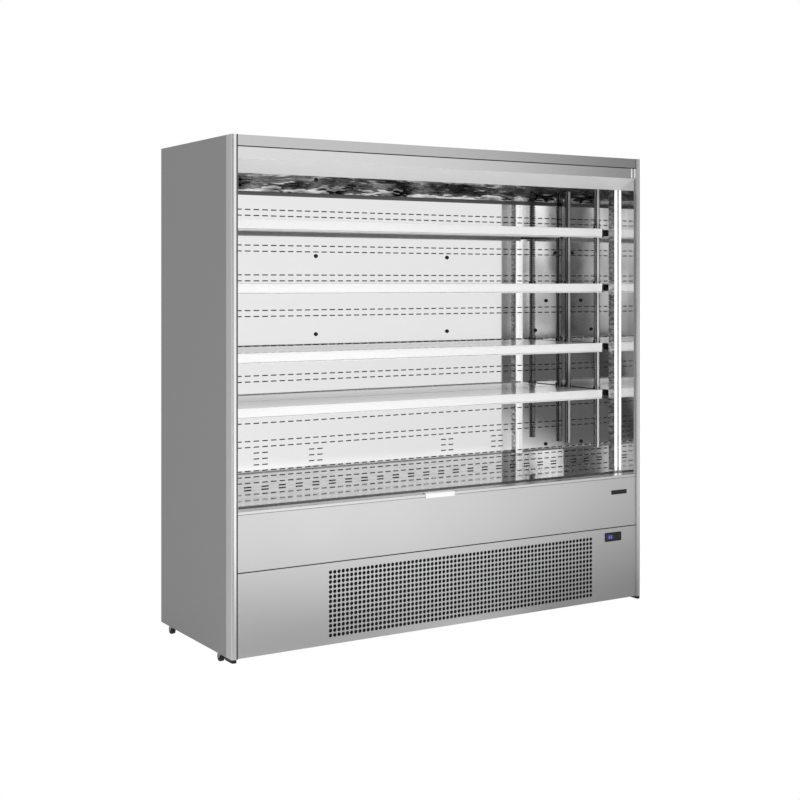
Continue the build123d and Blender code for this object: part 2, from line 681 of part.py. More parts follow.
def shelf_rack(y_low):
    """Toothed upright on the right liner."""
    low, high = DECK_TOP + RACK_RISE, CEILING - RACK_TOP_GAP
    root, tip = RACK_FACE + RACK_TOOTH_DEPTH, RACK_FACE
    teeth = int((high - low) // RACK_TOOTH_PITCH)
    section = [(INNER_RIGHT, low), (tip, low)]
    for i in range(teeth):
        notch_top = low + (i + 1) * RACK_TOOTH_PITCH
        section += [(tip, notch_top - RACK_NOTCH), (root, notch_top), (tip, notch_top)]
    section += [(tip, high), (INNER_RIGHT, high)]
    return run_y(section, y_low, y_low + RACK_WIDTH)


def lamp_housing():
    """Extruded lamp body on the right liner."""
    front = FRONT + LAMP_SETBACK
    step, rear = front + LAMP_DIFFUSER_WIDTH, front + LAMP_DIFFUSER_WIDTH + LAMP_BODY_WIDTH
    inner = INNER_RIGHT - LAMP_THICKNESS
    section = [
        (INNER_RIGHT, front), (INNER_RIGHT - LAMP_BASE, front), (INNER_RIGHT - LAMP_BASE, step),
        (inner, step), (inner, rear), (INNER_RIGHT, rear),
    ]
    return run_z(section, LAMP_LOW, LAMP_HIGH)


def lamp_diffuser():
    """Clear lens in front of the light strip, with a rounded inner corner."""
    front = FRONT + LAMP_SETBACK
    thickness = LAMP_THICKNESS - LAMP_BASE
    x, y = INNER_RIGHT - LAMP_BASE - thickness / 2, front + LAMP_DIFFUSER_WIDTH / 2
    lens = Pos(x, y) * Rectangle(thickness, LAMP_DIFFUSER_WIDTH)
    corner = lens.vertices().sort_by(Axis.X)[:2].sort_by(Axis.Y)[0]
    lens = fillet(corner, LAMP_RADIUS)
    return extrude(Pos(0, 0, LAMP_LOW) * lens, LAMP_HIGH - LAMP_LOW)


# ---- front panels -------------------------------------------------------------------
def front_pan(z_low, z_high):
    """Flat front panel with a short return along its upper and lower edge."""
    inside = FASCIA_FACE + SHEET
    section = [
        (FASCIA_FACE, z_low), (STRIP_FACE, z_low), (STRIP_FACE, z_low + SHEET),
        (inside, z_low + SHEET), (inside, z_high - SHEET), (STRIP_FACE, z_high - SHEET),
        (STRIP_FACE, z_high), (FASCIA_FACE, z_high),
    ]
    return run_x(section, -FASCIA_RIGHT, FASCIA_RIGHT)


def upper_front_panel():
    return front_pan(BASE + LOWER_PANEL_TOP + PANEL_SEAM, DECK_TOP - RAIL_HEIGHT - SHEET)


def lower_front_panel():
    """Lower panel with its field of six-sided grille holes and the controller's cut-out."""
    panel = front_pan(BASE, BASE + LOWER_PANEL_TOP)
    bottom = BASE + GRILLE_BOTTOM
    hole = RegularPolygon(GRILLE_HOLE_DIAMETER / 2, 6)
    for z in spread(GRILLE_ROWS, bottom, bottom + GRILLE_HEIGHT):
        for x in spread(GRILLE_COLUMNS, LEFT + GRILLE_START, RIGHT - GRILLE_END_INSET):
            plane = Plane(origin=(x, FASCIA_FACE + 2 * SHEET, z), z_dir=(0, -1, 0))
            panel -= extrude(plane * hole, CUT)
    return panel - controller_body()


# ---- controller ---------------------------------------------------------------------
CONTROL_X = (RIGHT - CONTROL_INSET - CONTROL_WIDTH, RIGHT - CONTROL_INSET)
CONTROL_Z = (BASE + CONTROL_BOTTOM, BASE + CONTROL_BOTTOM + CONTROL_HEIGHT)
CONTROL_FACE = FASCIA_FACE - CONTROL_PROUD


def controller_body():
    """Housing behind the panel, as large as the panel's cut-out."""
    x = (CONTROL_X[0] + CONTROL_EDGE, CONTROL_X[1] - CONTROL_EDGE)
    z = (CONTROL_Z[0] + CONTROL_EDGE, CONTROL_Z[1] - CONTROL_EDGE)
    return block(x, (FASCIA_FACE, FASCIA_FACE + CONTROL_DEPTH), z)


def display_place():
    x = CONTROL_X[0] + CONTROL_EDGE + SHEET
    z = (CONTROL_Z[0] + CONTROL_Z[1]) / 2
    return (x, x + DISPLAY_WIDTH), (z - DISPLAY_HEIGHT / 2, z + DISPLAY_HEIGHT / 2)


def button_place(index):
    low = display_place()[0][1] + (BUTTON_PITCH - BUTTON_WIDTH) + index * BUTTON_PITCH
    z = (CONTROL_Z[0] + CONTROL_Z[1]) / 2
    return (low, low + BUTTON_WIDTH), (z - BUTTON_HEIGHT / 2, z + BUTTON_HEIGHT / 2)


def controller_housing():
    """Bezel and body of the controller, with a seat for the display and pockets for the buttons."""
    bezel = block(CONTROL_X, (CONTROL_FACE, FASCIA_FACE), CONTROL_Z)
    bezel = chamfer(bezel.edges().filter_by(Axis.Y), CONTROL_PROUD)
    housing = bezel + controller_body()
    x, z = display_place()
    housing -= block(x, (CONTROL_FACE, CONTROL_FACE + DISPLAY_THICKNESS), z)
    for index in range(BUTTON_COUNT):
        x, z = button_place(index)
        x = (x[0] - BUTTON_CLEARANCE, x[1] + BUTTON_CLEARANCE)
        z = (z[0] - BUTTON_CLEARANCE, z[1] + BUTTON_CLEARANCE)
        housing -= block(x, (CONTROL_FACE, CONTROL_FACE + BUTTON_LENGTH + BUTTON_PROUD), z)
    return housing


def controller_display():
    x, z = display_place()
    return block(x, (CONTROL_FACE, CONTROL_FACE + DISPLAY_THICKNESS), z)


def controller_button(index):
    x, z = button_place(index)
    y_low = CONTROL_FACE - BUTTON_PROUD
    key = block(x, (y_low, y_low + BUTTON_LENGTH + BUTTON_PROUD), z)
    return chamfer(key.edges().filter_by(Axis.Y), BUTTON_PROUD)


# ---- fans ---------------------------------------------------------------------------
def fan_blades(radius, hub_front, centre):
    """Propeller on a hub, turning about an axis along Y, with a bore for its shaft."""
    wheel = extrude(RegularPolygon(FAN_HUB_RADIUS, ROUND_SIDE_COUNT), FAN_HUB_LENGTH / 2, both=True)
    chord = math.pi * radius / FAN_BLADES
    root, tip = FAN_HUB_RADIUS - FAN_BLADE_THICKNESS, math.sqrt(radius**2 - chord**2 / 4)
    planform = [(root, -chord / 4), (tip, -chord / 2), (tip, chord / 2), (root, chord / 4)]
    blade = extrude(outline(planform), FAN_BLADE_THICKNESS / 2, both=True)
    blade = Rot(FAN_BLADE_PITCH, 0, 0) * blade
    for i in range(FAN_BLADES):
        wheel += Rot(0, 0, 360 / FAN_BLADES * i) * blade
    wheel -= Cylinder(FAN_SHAFT_RADIUS + PIN_CLEARANCE, FAN_HUB_LENGTH * 2)
    x, z = centre
    return Pos(x, hub_front + FAN_HUB_LENGTH / 2, z) * Rot(90, 0, 0) * wheel


def fan_motor(hub_front, centre, span):
    """Motor behind the fan, on an upright strap, with its shaft through the hub."""
    x, z = centre
    front = hub_front + FAN_HUB_LENGTH + MOTOR_GAP
    motor = flat_sided((x, front, z), MOTOR_RADIUS, ROUND_SIDE_COUNT, MOTOR_LENGTH, (0, 1, 0))
    motor += rod((x, hub_front, z), FAN_SHAFT_RADIUS, FAN_HUB_LENGTH + 2 * MOTOR_GAP, (0, 1, 0))
    rear = front + MOTOR_LENGTH
    width = (x - ARM_WIDTH / 2, x + ARM_WIDTH / 2)
    return motor + block(width, (rear, rear + FAN_PLATE_THICKNESS), (z - span, z + span))


TANK_FAN_Z = (TANK_FLOOR + SHEET + DECK_TOP - SHEET) / 2
TANK_FAN_Y = FRONT + FAN_PLATE_SETBACK
TANK_FAN_X = (-TANK_FAN_OFFSET, TANK_FAN_OFFSET)
TANK_HALF_HEIGHT = (DECK_TOP - SHEET - TANK_FLOOR - SHEET) / 2
TANK_FAN_RADIUS = TANK_HALF_HEIGHT - TANK_FAN_MARGIN


def fan_plate():
    """Upright plate across the tank with an opening and a motor for each fan."""
    x = (-INNER_RIGHT + SHEET, INNER_RIGHT - SHEET)
    hub_front = TANK_FAN_Y - FAN_HUB_LENGTH / 2
    z = (TANK_FLOOR + SHEET, DECK_TOP - SHEET)
    plate = block(x, (TANK_FAN_Y, TANK_FAN_Y + FAN_PLATE_THICKNESS), z)
    solids = []
    for fan_x in TANK_FAN_X:
        start = (fan_x, TANK_FAN_Y - SHEET, TANK_FAN_Z)
        plate -= rod(start, TANK_FAN_RADIUS + FAN_TIP_GAP, CUT, (0, 1, 0))
        solids.append(fan_motor(hub_front, (fan_x, TANK_FAN_Z), TANK_HALF_HEIGHT))
    return [plate] + solids


def tank_fan(index):
    hub_front = TANK_FAN_Y - FAN_HUB_LENGTH / 2
    return fan_blades(TANK_FAN_RADIUS, hub_front, (TANK_FAN_X[index], TANK_FAN_Z))


# ---- evaporator tank ----------------------------------------------------------------
def tank_foam():
    """Foam floor of the cold tank with its upstand behind the upper front panel."""
    high = RAIL_TOP - RAIL_HEIGHT
    section = [
        (STRIP_FACE, TANK_BOTTOM), (REAR_FOAM_FRONT, TANK_BOTTOM), (REAR_FOAM_FRONT, TANK_FLOOR),
        (TANK_FRONT, TANK_FLOOR), (TANK_FRONT, high), (STRIP_FACE, high),
    ]
    return run_x(section, -INNER_RIGHT, INNER_RIGHT)


def tank_tub():
    """Sheet tub of the cold tank: floor, front wall and two side walls."""
    x, low, high = (-INNER_RIGHT, INNER_RIGHT), TANK_FLOOR + SHEET, DECK_TOP - SHEET
    floor = block(x, (TANK_FRONT, DUCT_LINER_FRONT), (TANK_FLOOR, low))
    front = block(x, (TANK_FRONT, TANK_FRONT + SHEET), (low, high - SHEET))
    side = block((INNER_RIGHT - SHEET, INNER_RIGHT), (RAIL_REAR, DUCT_LINER_FRONT), (low, high))
    return [floor, front, *pair(side)]


def finned_coil(x_low, length, y_low, depth, z_low, height, fins):
    """Fins on both sides of a tube bank, two end plates and return bends at the right end."""
    x_high, y_high, z = x_low + length, y_low + depth, (z_low, z_low + height)
    half_fin, middle = FIN_FILL * length / fins / 2, y_low + depth / 2
    front, rear = middle - SPINE_FILL * depth / 2, middle + SPINE_FILL * depth / 2
    solids = [block((x_low, x_high), (front, rear), z)]
    for x in spread(fins, x_low, x_high):
        width = (x - half_fin, x + half_fin)
        solids += [block(width, (y_low, front), z), block(width, (rear, y_high), z)]
    end = x_high + COIL_PLATE
    solids.append(block((x_low - COIL_PLATE, x_low), (y_low, y_high), z))
    solids.append(block((x_high, end), (y_low, y_high), z))
    outer, inner = TUBE_BEND_RADIUS + TUBE_RADIUS, TUBE_BEND_RADIUS - TUBE_RADIUS
    keep = block((end, end + 2 * outer), (y_low, y_high), z)
    for bend_z in spread(COIL_BENDS, *z):
        start = (end, middle - TUBE_RADIUS, bend_z)
        bend = flat_sided(start, outer, ROUND_SIDE_COUNT, 2 * TUBE_RADIUS, (0, 1, 0))
        bend -= flat_sided(start, inner, ROUND_SIDE_COUNT, 2 * TUBE_RADIUS, (0, 1, 0))
        solids.append(bend & keep)
    return solids


def evaporator_coil():
    z_low = TANK_FLOOR + SHEET
    y_low = FRONT + EVAPORATOR_SETBACK
    height = DECK_TOP - SHEET - EVAPORATOR_TOP_GAP - z_low
    args = (EVAPORATOR_LENGTH, y_low, EVAPORATOR_DEPTH, z_low, height)
    return finned_coil(-EVAPORATOR_LENGTH / 2, *args, EVAPORATOR_FINS)


# ---- condensing unit ----------------------------------------------------------------
CONDENSER_X = LEFT + CONDENSER_START
CONDENSER_Y = FRONT + CONDENSER_SETBACK
SHROUD_FRONT = CONDENSER_Y + CONDENSER_DEPTH
CONDENSER_FAN_CENTRE = (CONDENSER_X + CONDENSER_LENGTH / 2, BASE_TOP + CONDENSER_HEIGHT / 2)


def base_pan():
    """Base plate between the side panels, with an upstand that backs the lower panel."""
    z = (BASE, BASE_TOP)
    pan = block((LEFT + SHEET, RIGHT - SHEET), (PROFILE_REAR + SHEET, REAR_SKIN_FRONT - SHEET), z)
    tongue = block((-INNER_RIGHT, INNER_RIGHT), (STRIP_FACE, PROFILE_REAR + SHEET), z)
    y = (STRIP_FACE, STRIP_FACE + BASE_PAN_THICKNESS)
    upstand = block((-INNER_RIGHT, INNER_RIGHT), y, (BASE_TOP, BASE + BASE_PAN_UPSTAND))
    return pan + tongue + upstand


def condenser_coil():
    args = (CONDENSER_LENGTH, CONDENSER_Y, CONDENSER_DEPTH, BASE_TOP, CONDENSER_HEIGHT)
    return finned_coil(CONDENSER_X, *args, CONDENSER_FINS)


def condenser_shroud():
    """Fan shroud behind the condenser, with the fan's motor on its strap."""
    wall, fan_x = FAN_PLATE_THICKNESS, CONDENSER_FAN_CENTRE[0]
    rear = SHROUD_FRONT + SHROUD_DEPTH
    x = (CONDENSER_X - COIL_PLATE, CONDENSER_X + CONDENSER_LENGTH + COIL_PLATE)
    y, z = (SHROUD_FRONT, rear - wall), (BASE_TOP, BASE_TOP + CONDENSER_HEIGHT)
    inner_z = (z[0] + wall, z[1] - wall)
    solids = [block(x, y, (z[0], inner_z[0])), block(x, y, (inner_z[1], z[1]))]
    solids += [block((x[0], x[0] + wall), y, inner_z), block((x[1] - wall, x[1]), y, inner_z)]
    plate = block(x, (rear - wall, rear), z)
    start = (fan_x, SHROUD_FRONT, CONDENSER_FAN_CENTRE[1])
    plate -= rod(start, CONDENSER_FAN_RADIUS + FAN_TIP_GAP, 2 * SHROUD_DEPTH, (0, 1, 0))
    motor = fan_motor(condenser_hub_front(), CONDENSER_FAN_CENTRE, CONDENSER_HEIGHT / 2)
    return [*solids, plate, motor, *strap_feet(fan_x, z)]


def strap_feet(fan_x, z):
    """Two brackets from the shroud's rear face back to the motor's strap."""
    strap = condenser_hub_front() + FAN_HUB_LENGTH + MOTOR_GAP + MOTOR_LENGTH
    y = (SHROUD_FRONT + SHROUD_DEPTH, strap)
    x = (fan_x - ARM_WIDTH / 2, fan_x + ARM_WIDTH / 2)
    low = block(x, y, (z[0], z[0] + FAN_PLATE_THICKNESS))
    high = block(x, y, (z[1] - FAN_PLATE_THICKNESS, z[1]))
    return [low, high]


def condenser_hub_front():
    return SHROUD_FRONT + SHROUD_DEPTH - FAN_HUB_LENGTH / 2


def condenser_fan():
    return fan_blades(CONDENSER_FAN_RADIUS, condenser_hub_front(), CONDENSER_FAN_CENTRE)


def compressor():
    """Hermetic compressor: a domed shell on a foot plate with four grommets."""
    x, y = LEFT + COMPRESSOR_CENTRE, FRONT + COMPRESSOR_SETBACK
    foot_z = BASE_TOP + GROMMET_HEIGHT
    half = COMPRESSOR_FOOT / 2
    shell_low = foot_z + COMPRESSOR_FOOT_THICKNESS
    foot = block((x - half, x + half), (y - half, y + half), (foot_z, shell_low))
    size = (COMPRESSOR_RADIUS, COMPRESSOR_SIDE_COUNT, COMPRESSOR_HEIGHT)
    shell = flat_sided((x, y, shell_low), *size, (0, 0, 1))
    shell = chamfer(shell.edges().group_by(Axis.Z)[-1], COMPRESSOR_SHOULDER)
    solids = [foot, shell]
    reach = half - 2 * GROMMET_RADIUS
    for dx in (-reach, reach):
        for dy in (-reach, reach):
            place = (x + dx, y + dy, BASE_TOP)
            size = (GROMMET_RADIUS, GROMMET_SIDE_COUNT, GROMMET_HEIGHT)
            solids.append(flat_sided(place, *size, (0, 0, 1)))
    return solids


# ---- castors ------------------------------------------------------------------------
CASTOR_PLACES = {
    "front_left": (LEFT + CASTOR_SIDE_INSET, FRONT + CASTOR_FRONT_SETBACK),
    "front_right": (RIGHT - CASTOR_SIDE_INSET, FRONT + CASTOR_FRONT_SETBACK),
    "rear_left": (LEFT + CASTOR_SIDE_INSET, BACK - CASTOR_REAR_INSET),
    "rear_right": (RIGHT - CASTOR_SIDE_INSET, BACK - CASTOR_REAR_INSET),
}


def castor_plate(place):
    """Mounting plate with its bearing ring and riveted kingpin."""
    x, y = place
    low = BASE - CASTOR_PLATE_THICKNESS
    half = CASTOR_PLATE / 2
    plate = block((x - half, x + half), (y - half, y + half), (low, BASE))
    plate = chamfer(plate.edges().filter_by(Axis.Z), CASTOR_PLATE_CORNER)
    ring_low = FORK_TOP + BEARING_GAP
    plate += flat_sided((x, y, ring_low), BEARING_RADIUS, ROUND_SIDE_COUNT, low - ring_low, (0, 0, 1))
    head_top = FORK_TOP - FORK_SHEET - BEARING_GAP
    plate += rod((x, y, head_top), KINGPIN_RADIUS, low - head_top, (0, 0, 1))
    start = (x, y, head_top - KINGPIN_HEAD)
    return plate + flat_sided(start, KINGPIN_HEAD_RADIUS, KINGPIN_SIDE_COUNT, KINGPIN_HEAD, (0, 0, 1))


def castor_fork(place):
    """Pressed fork: a crown round the kingpin and two cheeks that slope to the axle."""
    x, y = place
    axle_y, axle_z = y + CASTOR_TRAIL, WHEEL_RADIUS
    crown_low = FORK_TOP - FORK_SHEET
    inner = WHEEL_WIDTH / 2 + FORK_GAP
    outer = inner + FORK_SHEET
    cheek = [
        (y - FORK_CROWN_RADIUS, FORK_TOP), (y - FORK_CROWN_RADIUS, crown_low),
        (axle_y - 2 * AXLE_RADIUS, axle_z - AXLE_RADIUS), (axle_y, axle_z - 2 * AXLE_RADIUS),
        (axle_y + 2 * AXLE_RADIUS, axle_z - AXLE_RADIUS), (axle_y + FORK_CROWN_RADIUS / 2, crown_low),
        (axle_y + FORK_CROWN_RADIUS / 2, FORK_TOP),
    ]
    fork = run_x(cheek, x + inner, x + outer) + run_x(cheek, x - outer, x - inner)
    crown_y = (y - FORK_CROWN_RADIUS, axle_y + FORK_CROWN_RADIUS / 2)
    fork += block((x - inner, x + inner), crown_y, (crown_low, FORK_TOP))
    fork -= rod((x, y, crown_low), KINGPIN_RADIUS + PIN_CLEARANCE, FORK_SHEET, (0, 0, 1))
    return fork + rod((x - inner, axle_y, axle_z), AXLE_RADIUS, 2 * inner, (1, 0, 0))


def castor_wheel(place):
    """Black wheel with chamfered rims and a bore for the axle."""
    x, y = place
    start = (x - WHEEL_WIDTH / 2, y + CASTOR_TRAIL, WHEEL_RADIUS)
    wheel = rod(start, WHEEL_RADIUS, WHEEL_WIDTH, (1, 0, 0))
    wheel = chamfer(wheel.edges().filter_by(GeomType.CIRCLE), WHEEL_EDGE)
    return wheel - rod(start, AXLE_RADIUS + PIN_CLEARANCE, WHEEL_WIDTH, (1, 0, 0))


def all_nodes():
    """Every named piece of the fridge."""
    nodes = {
        "side_panel_right": side_panel(),
        "side_panel_left": other_side(side_panel()),
        "corner_profile_right": corner_profile(),
        "corner_profile_left": other_side(corner_profile()),
        "side_liners": pair(side_liner()),
        "cabinet_foam": [*pair(side_foam()), rear_foam(), roof_foam(), tank_foam()],
        "breaker_strips": pair(breaker_strip()),
        "profile_feet": pair(profile_foot()),
        "rear_skin": rear_skin(),
        "roof_skin": roof_skin(),
        "top_fascia": top_fascia(),
        "canopy_cover": canopy_cover(),
        "duct_front_wall": duct_front_wall(),
        "honeycomb_outlet": honeycomb_outlet(),
        "ceiling_panel": ceiling_panel(),
        "blind_roller": blind_roller(),
        "roller_brackets": pair(roller_bracket()),
        "blind_bar": blind_bar(),
        "blind_cloth": blind_cloth(),
        "duct_liner": duct_liner(),
        "back_panel": back_panel(),
        "panel_knobs": panel_knobs(),
        "deck_panel": deck_panel(),
        "return_grille": return_grille(),
        "front_rail": front_rail(),
        "rail_catch": rail_catch(),
        "price_rails": [solid for top in SHELF_RAIL_TOPS for solid in price_rail(top)],
        "shelf_racks": [rack for back in RACK_SETBACKS for rack in pair(shelf_rack(FRONT + back))],
        "lamp_housings": pair(lamp_housing()),
        "lamp_diffusers": pair(lamp_diffuser()),
        "upper_front_panel": upper_front_panel(),
        "lower_front_panel": lower_front_panel(),
        "controller_housing": controller_housing(),
        "controller_display": controller_display(),
        "tank_tub": tank_tub(),
        "fan_plate": fan_plate(),
        "evaporator_coil": evaporator_coil(),
        "base_pan": base_pan(),
        "condenser_coil": condenser_coil(),
        "condenser_shroud": condenser_shroud(),
        "condenser_fan": condenser_fan(),
        "compressor": compressor(),
        "castor_plates": [castor_plate(place) for place in CASTOR_PLACES.values()],
    }
    for number, top in enumerate(SHELF_RAIL_TOPS, start=1):
        nodes[f"shelf_{number}"] = shelf(top)
    for number in range(BUTTON_COUNT):
        nodes[f"controller_button_{number + 1}"] = controller_button(number)
    for number in range(len(TANK_FAN_X)):
        nodes[f"tank_fan_{number + 1}"] = tank_fan(number)
    for name, place in CASTOR_PLACES.items():
        nodes[f"castor_fork_{name}"] = castor_fork(place)
        nodes[f"castor_wheel_{name}"] = castor_wheel(place)
    return nodes


os.makedirs("parts", exist_ok=True)
for node, shape in all_nodes().items():
    if isinstance(shape, list):
        shape = Compound(children=shape)
    export_step(shape, f"parts/{node}.step")
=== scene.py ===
"""Looks of an open multideck display fridge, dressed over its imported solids.

Metres, +Z up, X to the right and -Y to the front. The origin lies on the floor under the
middle of the width and of the depth.
"""

import json
import logging
import math
from collections.abc import Callable
from dataclasses import dataclass
from enum import Enum

import bmesh
import bpy
from mathutils import Matrix, Vector


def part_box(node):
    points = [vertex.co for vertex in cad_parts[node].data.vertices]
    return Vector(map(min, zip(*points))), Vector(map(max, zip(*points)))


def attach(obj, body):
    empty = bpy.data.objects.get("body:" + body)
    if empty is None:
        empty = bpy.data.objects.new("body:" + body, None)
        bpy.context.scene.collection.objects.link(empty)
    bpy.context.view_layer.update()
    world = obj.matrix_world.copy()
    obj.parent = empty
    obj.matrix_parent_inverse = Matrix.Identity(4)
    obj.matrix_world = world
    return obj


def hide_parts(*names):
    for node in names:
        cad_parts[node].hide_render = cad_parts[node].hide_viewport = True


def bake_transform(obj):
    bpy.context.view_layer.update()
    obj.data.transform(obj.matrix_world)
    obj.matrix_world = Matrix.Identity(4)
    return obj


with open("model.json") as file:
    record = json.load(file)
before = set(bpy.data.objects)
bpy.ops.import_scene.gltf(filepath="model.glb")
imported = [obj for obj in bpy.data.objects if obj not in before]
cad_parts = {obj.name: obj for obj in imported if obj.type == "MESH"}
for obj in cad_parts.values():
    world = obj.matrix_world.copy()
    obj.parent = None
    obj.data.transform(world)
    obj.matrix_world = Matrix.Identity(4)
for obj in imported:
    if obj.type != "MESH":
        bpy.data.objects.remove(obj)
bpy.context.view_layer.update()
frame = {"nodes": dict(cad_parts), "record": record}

log = logging.getLogger("display_fridge")

Point = tuple[float, float]
Place = tuple[float, float, float]
Window = tuple[float, float, float, float]
Stops = tuple[tuple[float, str], ...]
Mesh = bmesh.types.BMesh
Socket = bpy.types.NodeSocket

WHITE = (1.0, 1.0, 1.0, 1.0)
# Points nearer than this are one point, in metres.
MERGE = 0.00001
# Degrees: below the first an edge is flat, below the second smooth, above the third rounded.
FLAT_ANGLE, SMOOTH_ANGLE, SHARP_ANGLE = 2.0, 35.0, 40.0
# A wave texture of scale 1 repeats after about this length, in metres.
WAVE_LENGTH = 0.31


class Way(Enum):
    """Axis that a grain runs along, as the grain's scale on X, Y and Z."""

    X = (1.0, 30.0, 30.0)
    Z = (30.0, 30.0, 1.0)


class Facing(Enum):
    """Where the face of a punched sheet looks: turn about X, from +Z."""

    FRONT = math.pi / 2
    UP = 0.0


class Edge(Enum):
    """Width of a piece's rounded edges, in metres."""

    RAW = 0.0
    CUT = 0.0002
    THIN = 0.0003
    SHEET = 0.0004
    DRAWN = 0.0005
    FOLDED = 0.0006
    ROLLED = 0.0022


def linear(hex_colour: str) -> tuple[float, float, float, float]:
    """Turns an sRGB hex colour into linear values.

    Args:
        hex_colour: Six hex digits, with or without a leading hash.

    Returns:
        Linear red, green and blue, and an alpha of 1.
    """
    digits = hex_colour.lstrip("#")
    values = [int(digits[i : i + 2], 16) / 255 for i in (0, 2, 4)]
    low = [v / 12.92 if v <= 0.04045 else ((v + 0.055) / 1.055) ** 2.4 for v in values]
    return (low[0], low[1], low[2], 1.0)


def add_node(
    tree: bpy.types.NodeTree, kind: str, settings: dict | None = None, inputs: dict | None = None
) -> bpy.types.Node:
    """Adds a node with its settings and its inputs.

    Args:
        tree: Node tree that gets the node.
        kind: Blender's type name of the node.
        settings: Attributes to set on the node.
        inputs: Socket name or index with a value, with an output socket to link, or with a
            node whose first output is linked.

    Returns:
        The node.
    """
    node = tree.nodes.new(kind)
    for key, value in (settings or {}).items():
        setattr(node, key, value)
    for key, value in (inputs or {}).items():
        source = value.outputs[0] if isinstance(value, bpy.types.Node) else value
        if isinstance(source, Socket):
            tree.links.new(source, node.inputs[key])
        else:
            node.inputs[key].default_value = source
    return node


def empty_tree(owner: bpy.types.Material | bpy.types.World) -> bpy.types.NodeTree:
    """Bare node tree of a new material or world."""
    owner.use_nodes = True
    owner.node_tree.nodes.clear()
    return owner.node_tree


def put_in_scene(name: str, data: bpy.types.ID) -> bpy.types.Object:
    """New object with its data, linked to the scene."""
    made = bpy.data.objects.new(name, data)
    bpy.context.scene.collection.objects.link(made)
    return made


@dataclass(frozen=True)
class Remap:
    """Straight change of one range into another.

    Args:
        start: Low and high that come in.
        end: Low and high that go out.
    """

    start: Point = (0.0, 1.0)
    end: Point = (0.0, 1.0)

    def of(self, value: Socket | bpy.types.Node) -> dict:
        """Inputs of the node that changes the range of a value."""
        (low, high), (bottom, top) = self.start, self.end
        return {"Value": value, "From Min": low, "From Max": high, "To Min": bottom, "To Max": top}


# ---- finishes -------------------------------------------------------------------------
@dataclass(frozen=True)
class Surface:
    """Node tree of a material under construction.

    Args:
        tree: The tree.
        coords: Object coordinates.
        shader: Principled shader.
    """

    tree: bpy.types.NodeTree
    coords: Socket
    shader: bpy.types.Node

    def noise(self, size: float, detail: float = 3.0, stretch: Place = (1.0, 1.0, 1.0)) -> Socket:
        """Adds noise over the object.

        Args:
            size: Width of its features, in metres.
            detail: Octaves of finer noise.
            stretch: Scale along X, Y and Z.

        Returns:
            The pattern, from 0 to 1.
        """
        placed = add_node(self.tree, "ShaderNodeMapping", None, {"Vector": self.coords, "Scale": stretch})
        inputs = {"Vector": placed, "Scale": 1 / size, "Detail": detail}
        return add_node(self.tree, "ShaderNodeTexNoise", None, inputs).outputs["Fac"]

    def waves(self, direction: str, length: float) -> Socket:
        """Adds waves across one axis.

        Args:
            direction: Axis that they follow each other along.
            length: Step from one to the next, in metres.

        Returns:
            The pattern, from 0 to 1.
        """
        inputs = {"Vector": self.coords, "Scale": WAVE_LENGTH / length}
        return add_node(self.tree, "ShaderNodeTexWave", {"bands_direction": direction}, inputs).outputs["Fac"]

    def bump(self, height: Socket, strength: float, depth: float) -> None:
        """Adds relief to the shader.

        Args:
            height: Pattern of the relief.
            strength: Share of it that is used.
            depth: Rise from 0 to 1 of the pattern, in metres.
        """
        inputs = {"Height": height, "Strength": strength, "Distance": depth}
        relief = add_node(self.tree, "ShaderNodeBump", None, inputs)
        self.tree.links.new(relief.outputs["Normal"], self.shader.inputs["Normal"])


@dataclass(frozen=True)
class Finish:
    """A material made of nodes; each kind of surface adds its own pattern.

    Args:
        name: Name of the real material and finish.
        colour: sRGB hex colour.
        roughness: Middle of the roughness range.
        metallic: 1 for bare metal.
        spread: Roughness to either side of the middle.
        tint: Share of the colour taken away where the pattern is 0.
    """

    name: str
    colour: str
    roughness: float = 0.5
    metallic: float = 0.0
    spread: float = 0.06
    tint: float = 0.06

    def material(self) -> bpy.types.Material:
        """Builds the material at its first use.

        Returns:
            The material.
        """
        made = bpy.data.materials.get(self.name)
        if made:
            return made
        made = bpy.data.materials.new(self.name)
        tree = empty_tree(made)
        coords = add_node(tree, "ShaderNodeTexCoord").outputs["Object"]
        shader = add_node(tree, "ShaderNodeBsdfPrincipled", None, {"Metallic": self.metallic})
        add_node(tree, "ShaderNodeOutputMaterial", None, {"Surface": shader})
        self.pattern(Surface(tree, coords, shader))
        return made

    def shade(self, surface: Surface, factor: Socket | bpy.types.Node) -> None:
        """Varies colour and roughness round their middle.

        Args:
            surface: Material under construction.
            factor: Pattern, from 0 to 1.
        """
        tree, shader = surface.tree, surface.shader
        base = linear(self.colour)
        deep = (*(c * (1 - self.tint) for c in base[:3]), 1.0)
        mix = add_node(tree, "ShaderNodeMix", {"data_type": "RGBA"}, {"Factor": factor, 6: deep, 7: base})
        tree.links.new(mix.outputs[2], shader.inputs["Base Color"])
        range_out = Remap(end=(self.roughness - self.spread, self.roughness + self.spread))
        rough = add_node(tree, "ShaderNodeMapRange", None, range_out.of(factor))
        tree.links.new(rough.outputs["Result"], shader.inputs["Roughness"])

    def pattern(self, surface: Surface) -> None:
        """Gives the surface its colour, roughness and relief; each kind of finish has its own."""
        raise NotImplementedError


@dataclass(frozen=True)
class PowderCoat(Finish):
    """Baked powder paint: faint broad clouds under an orange peel of 1.6 mm."""

    cloud: float = 0.22
    peel: float = 0.0016

    def pattern(self, surface: Surface) -> None:
        """Clouds the colour and raises the orange peel by 0.04 mm."""
        self.shade(surface, surface.noise(self.cloud, detail=4.0))
        surface.bump(surface.noise(self.peel, detail=2.0), strength=0.25, depth=0.00004)


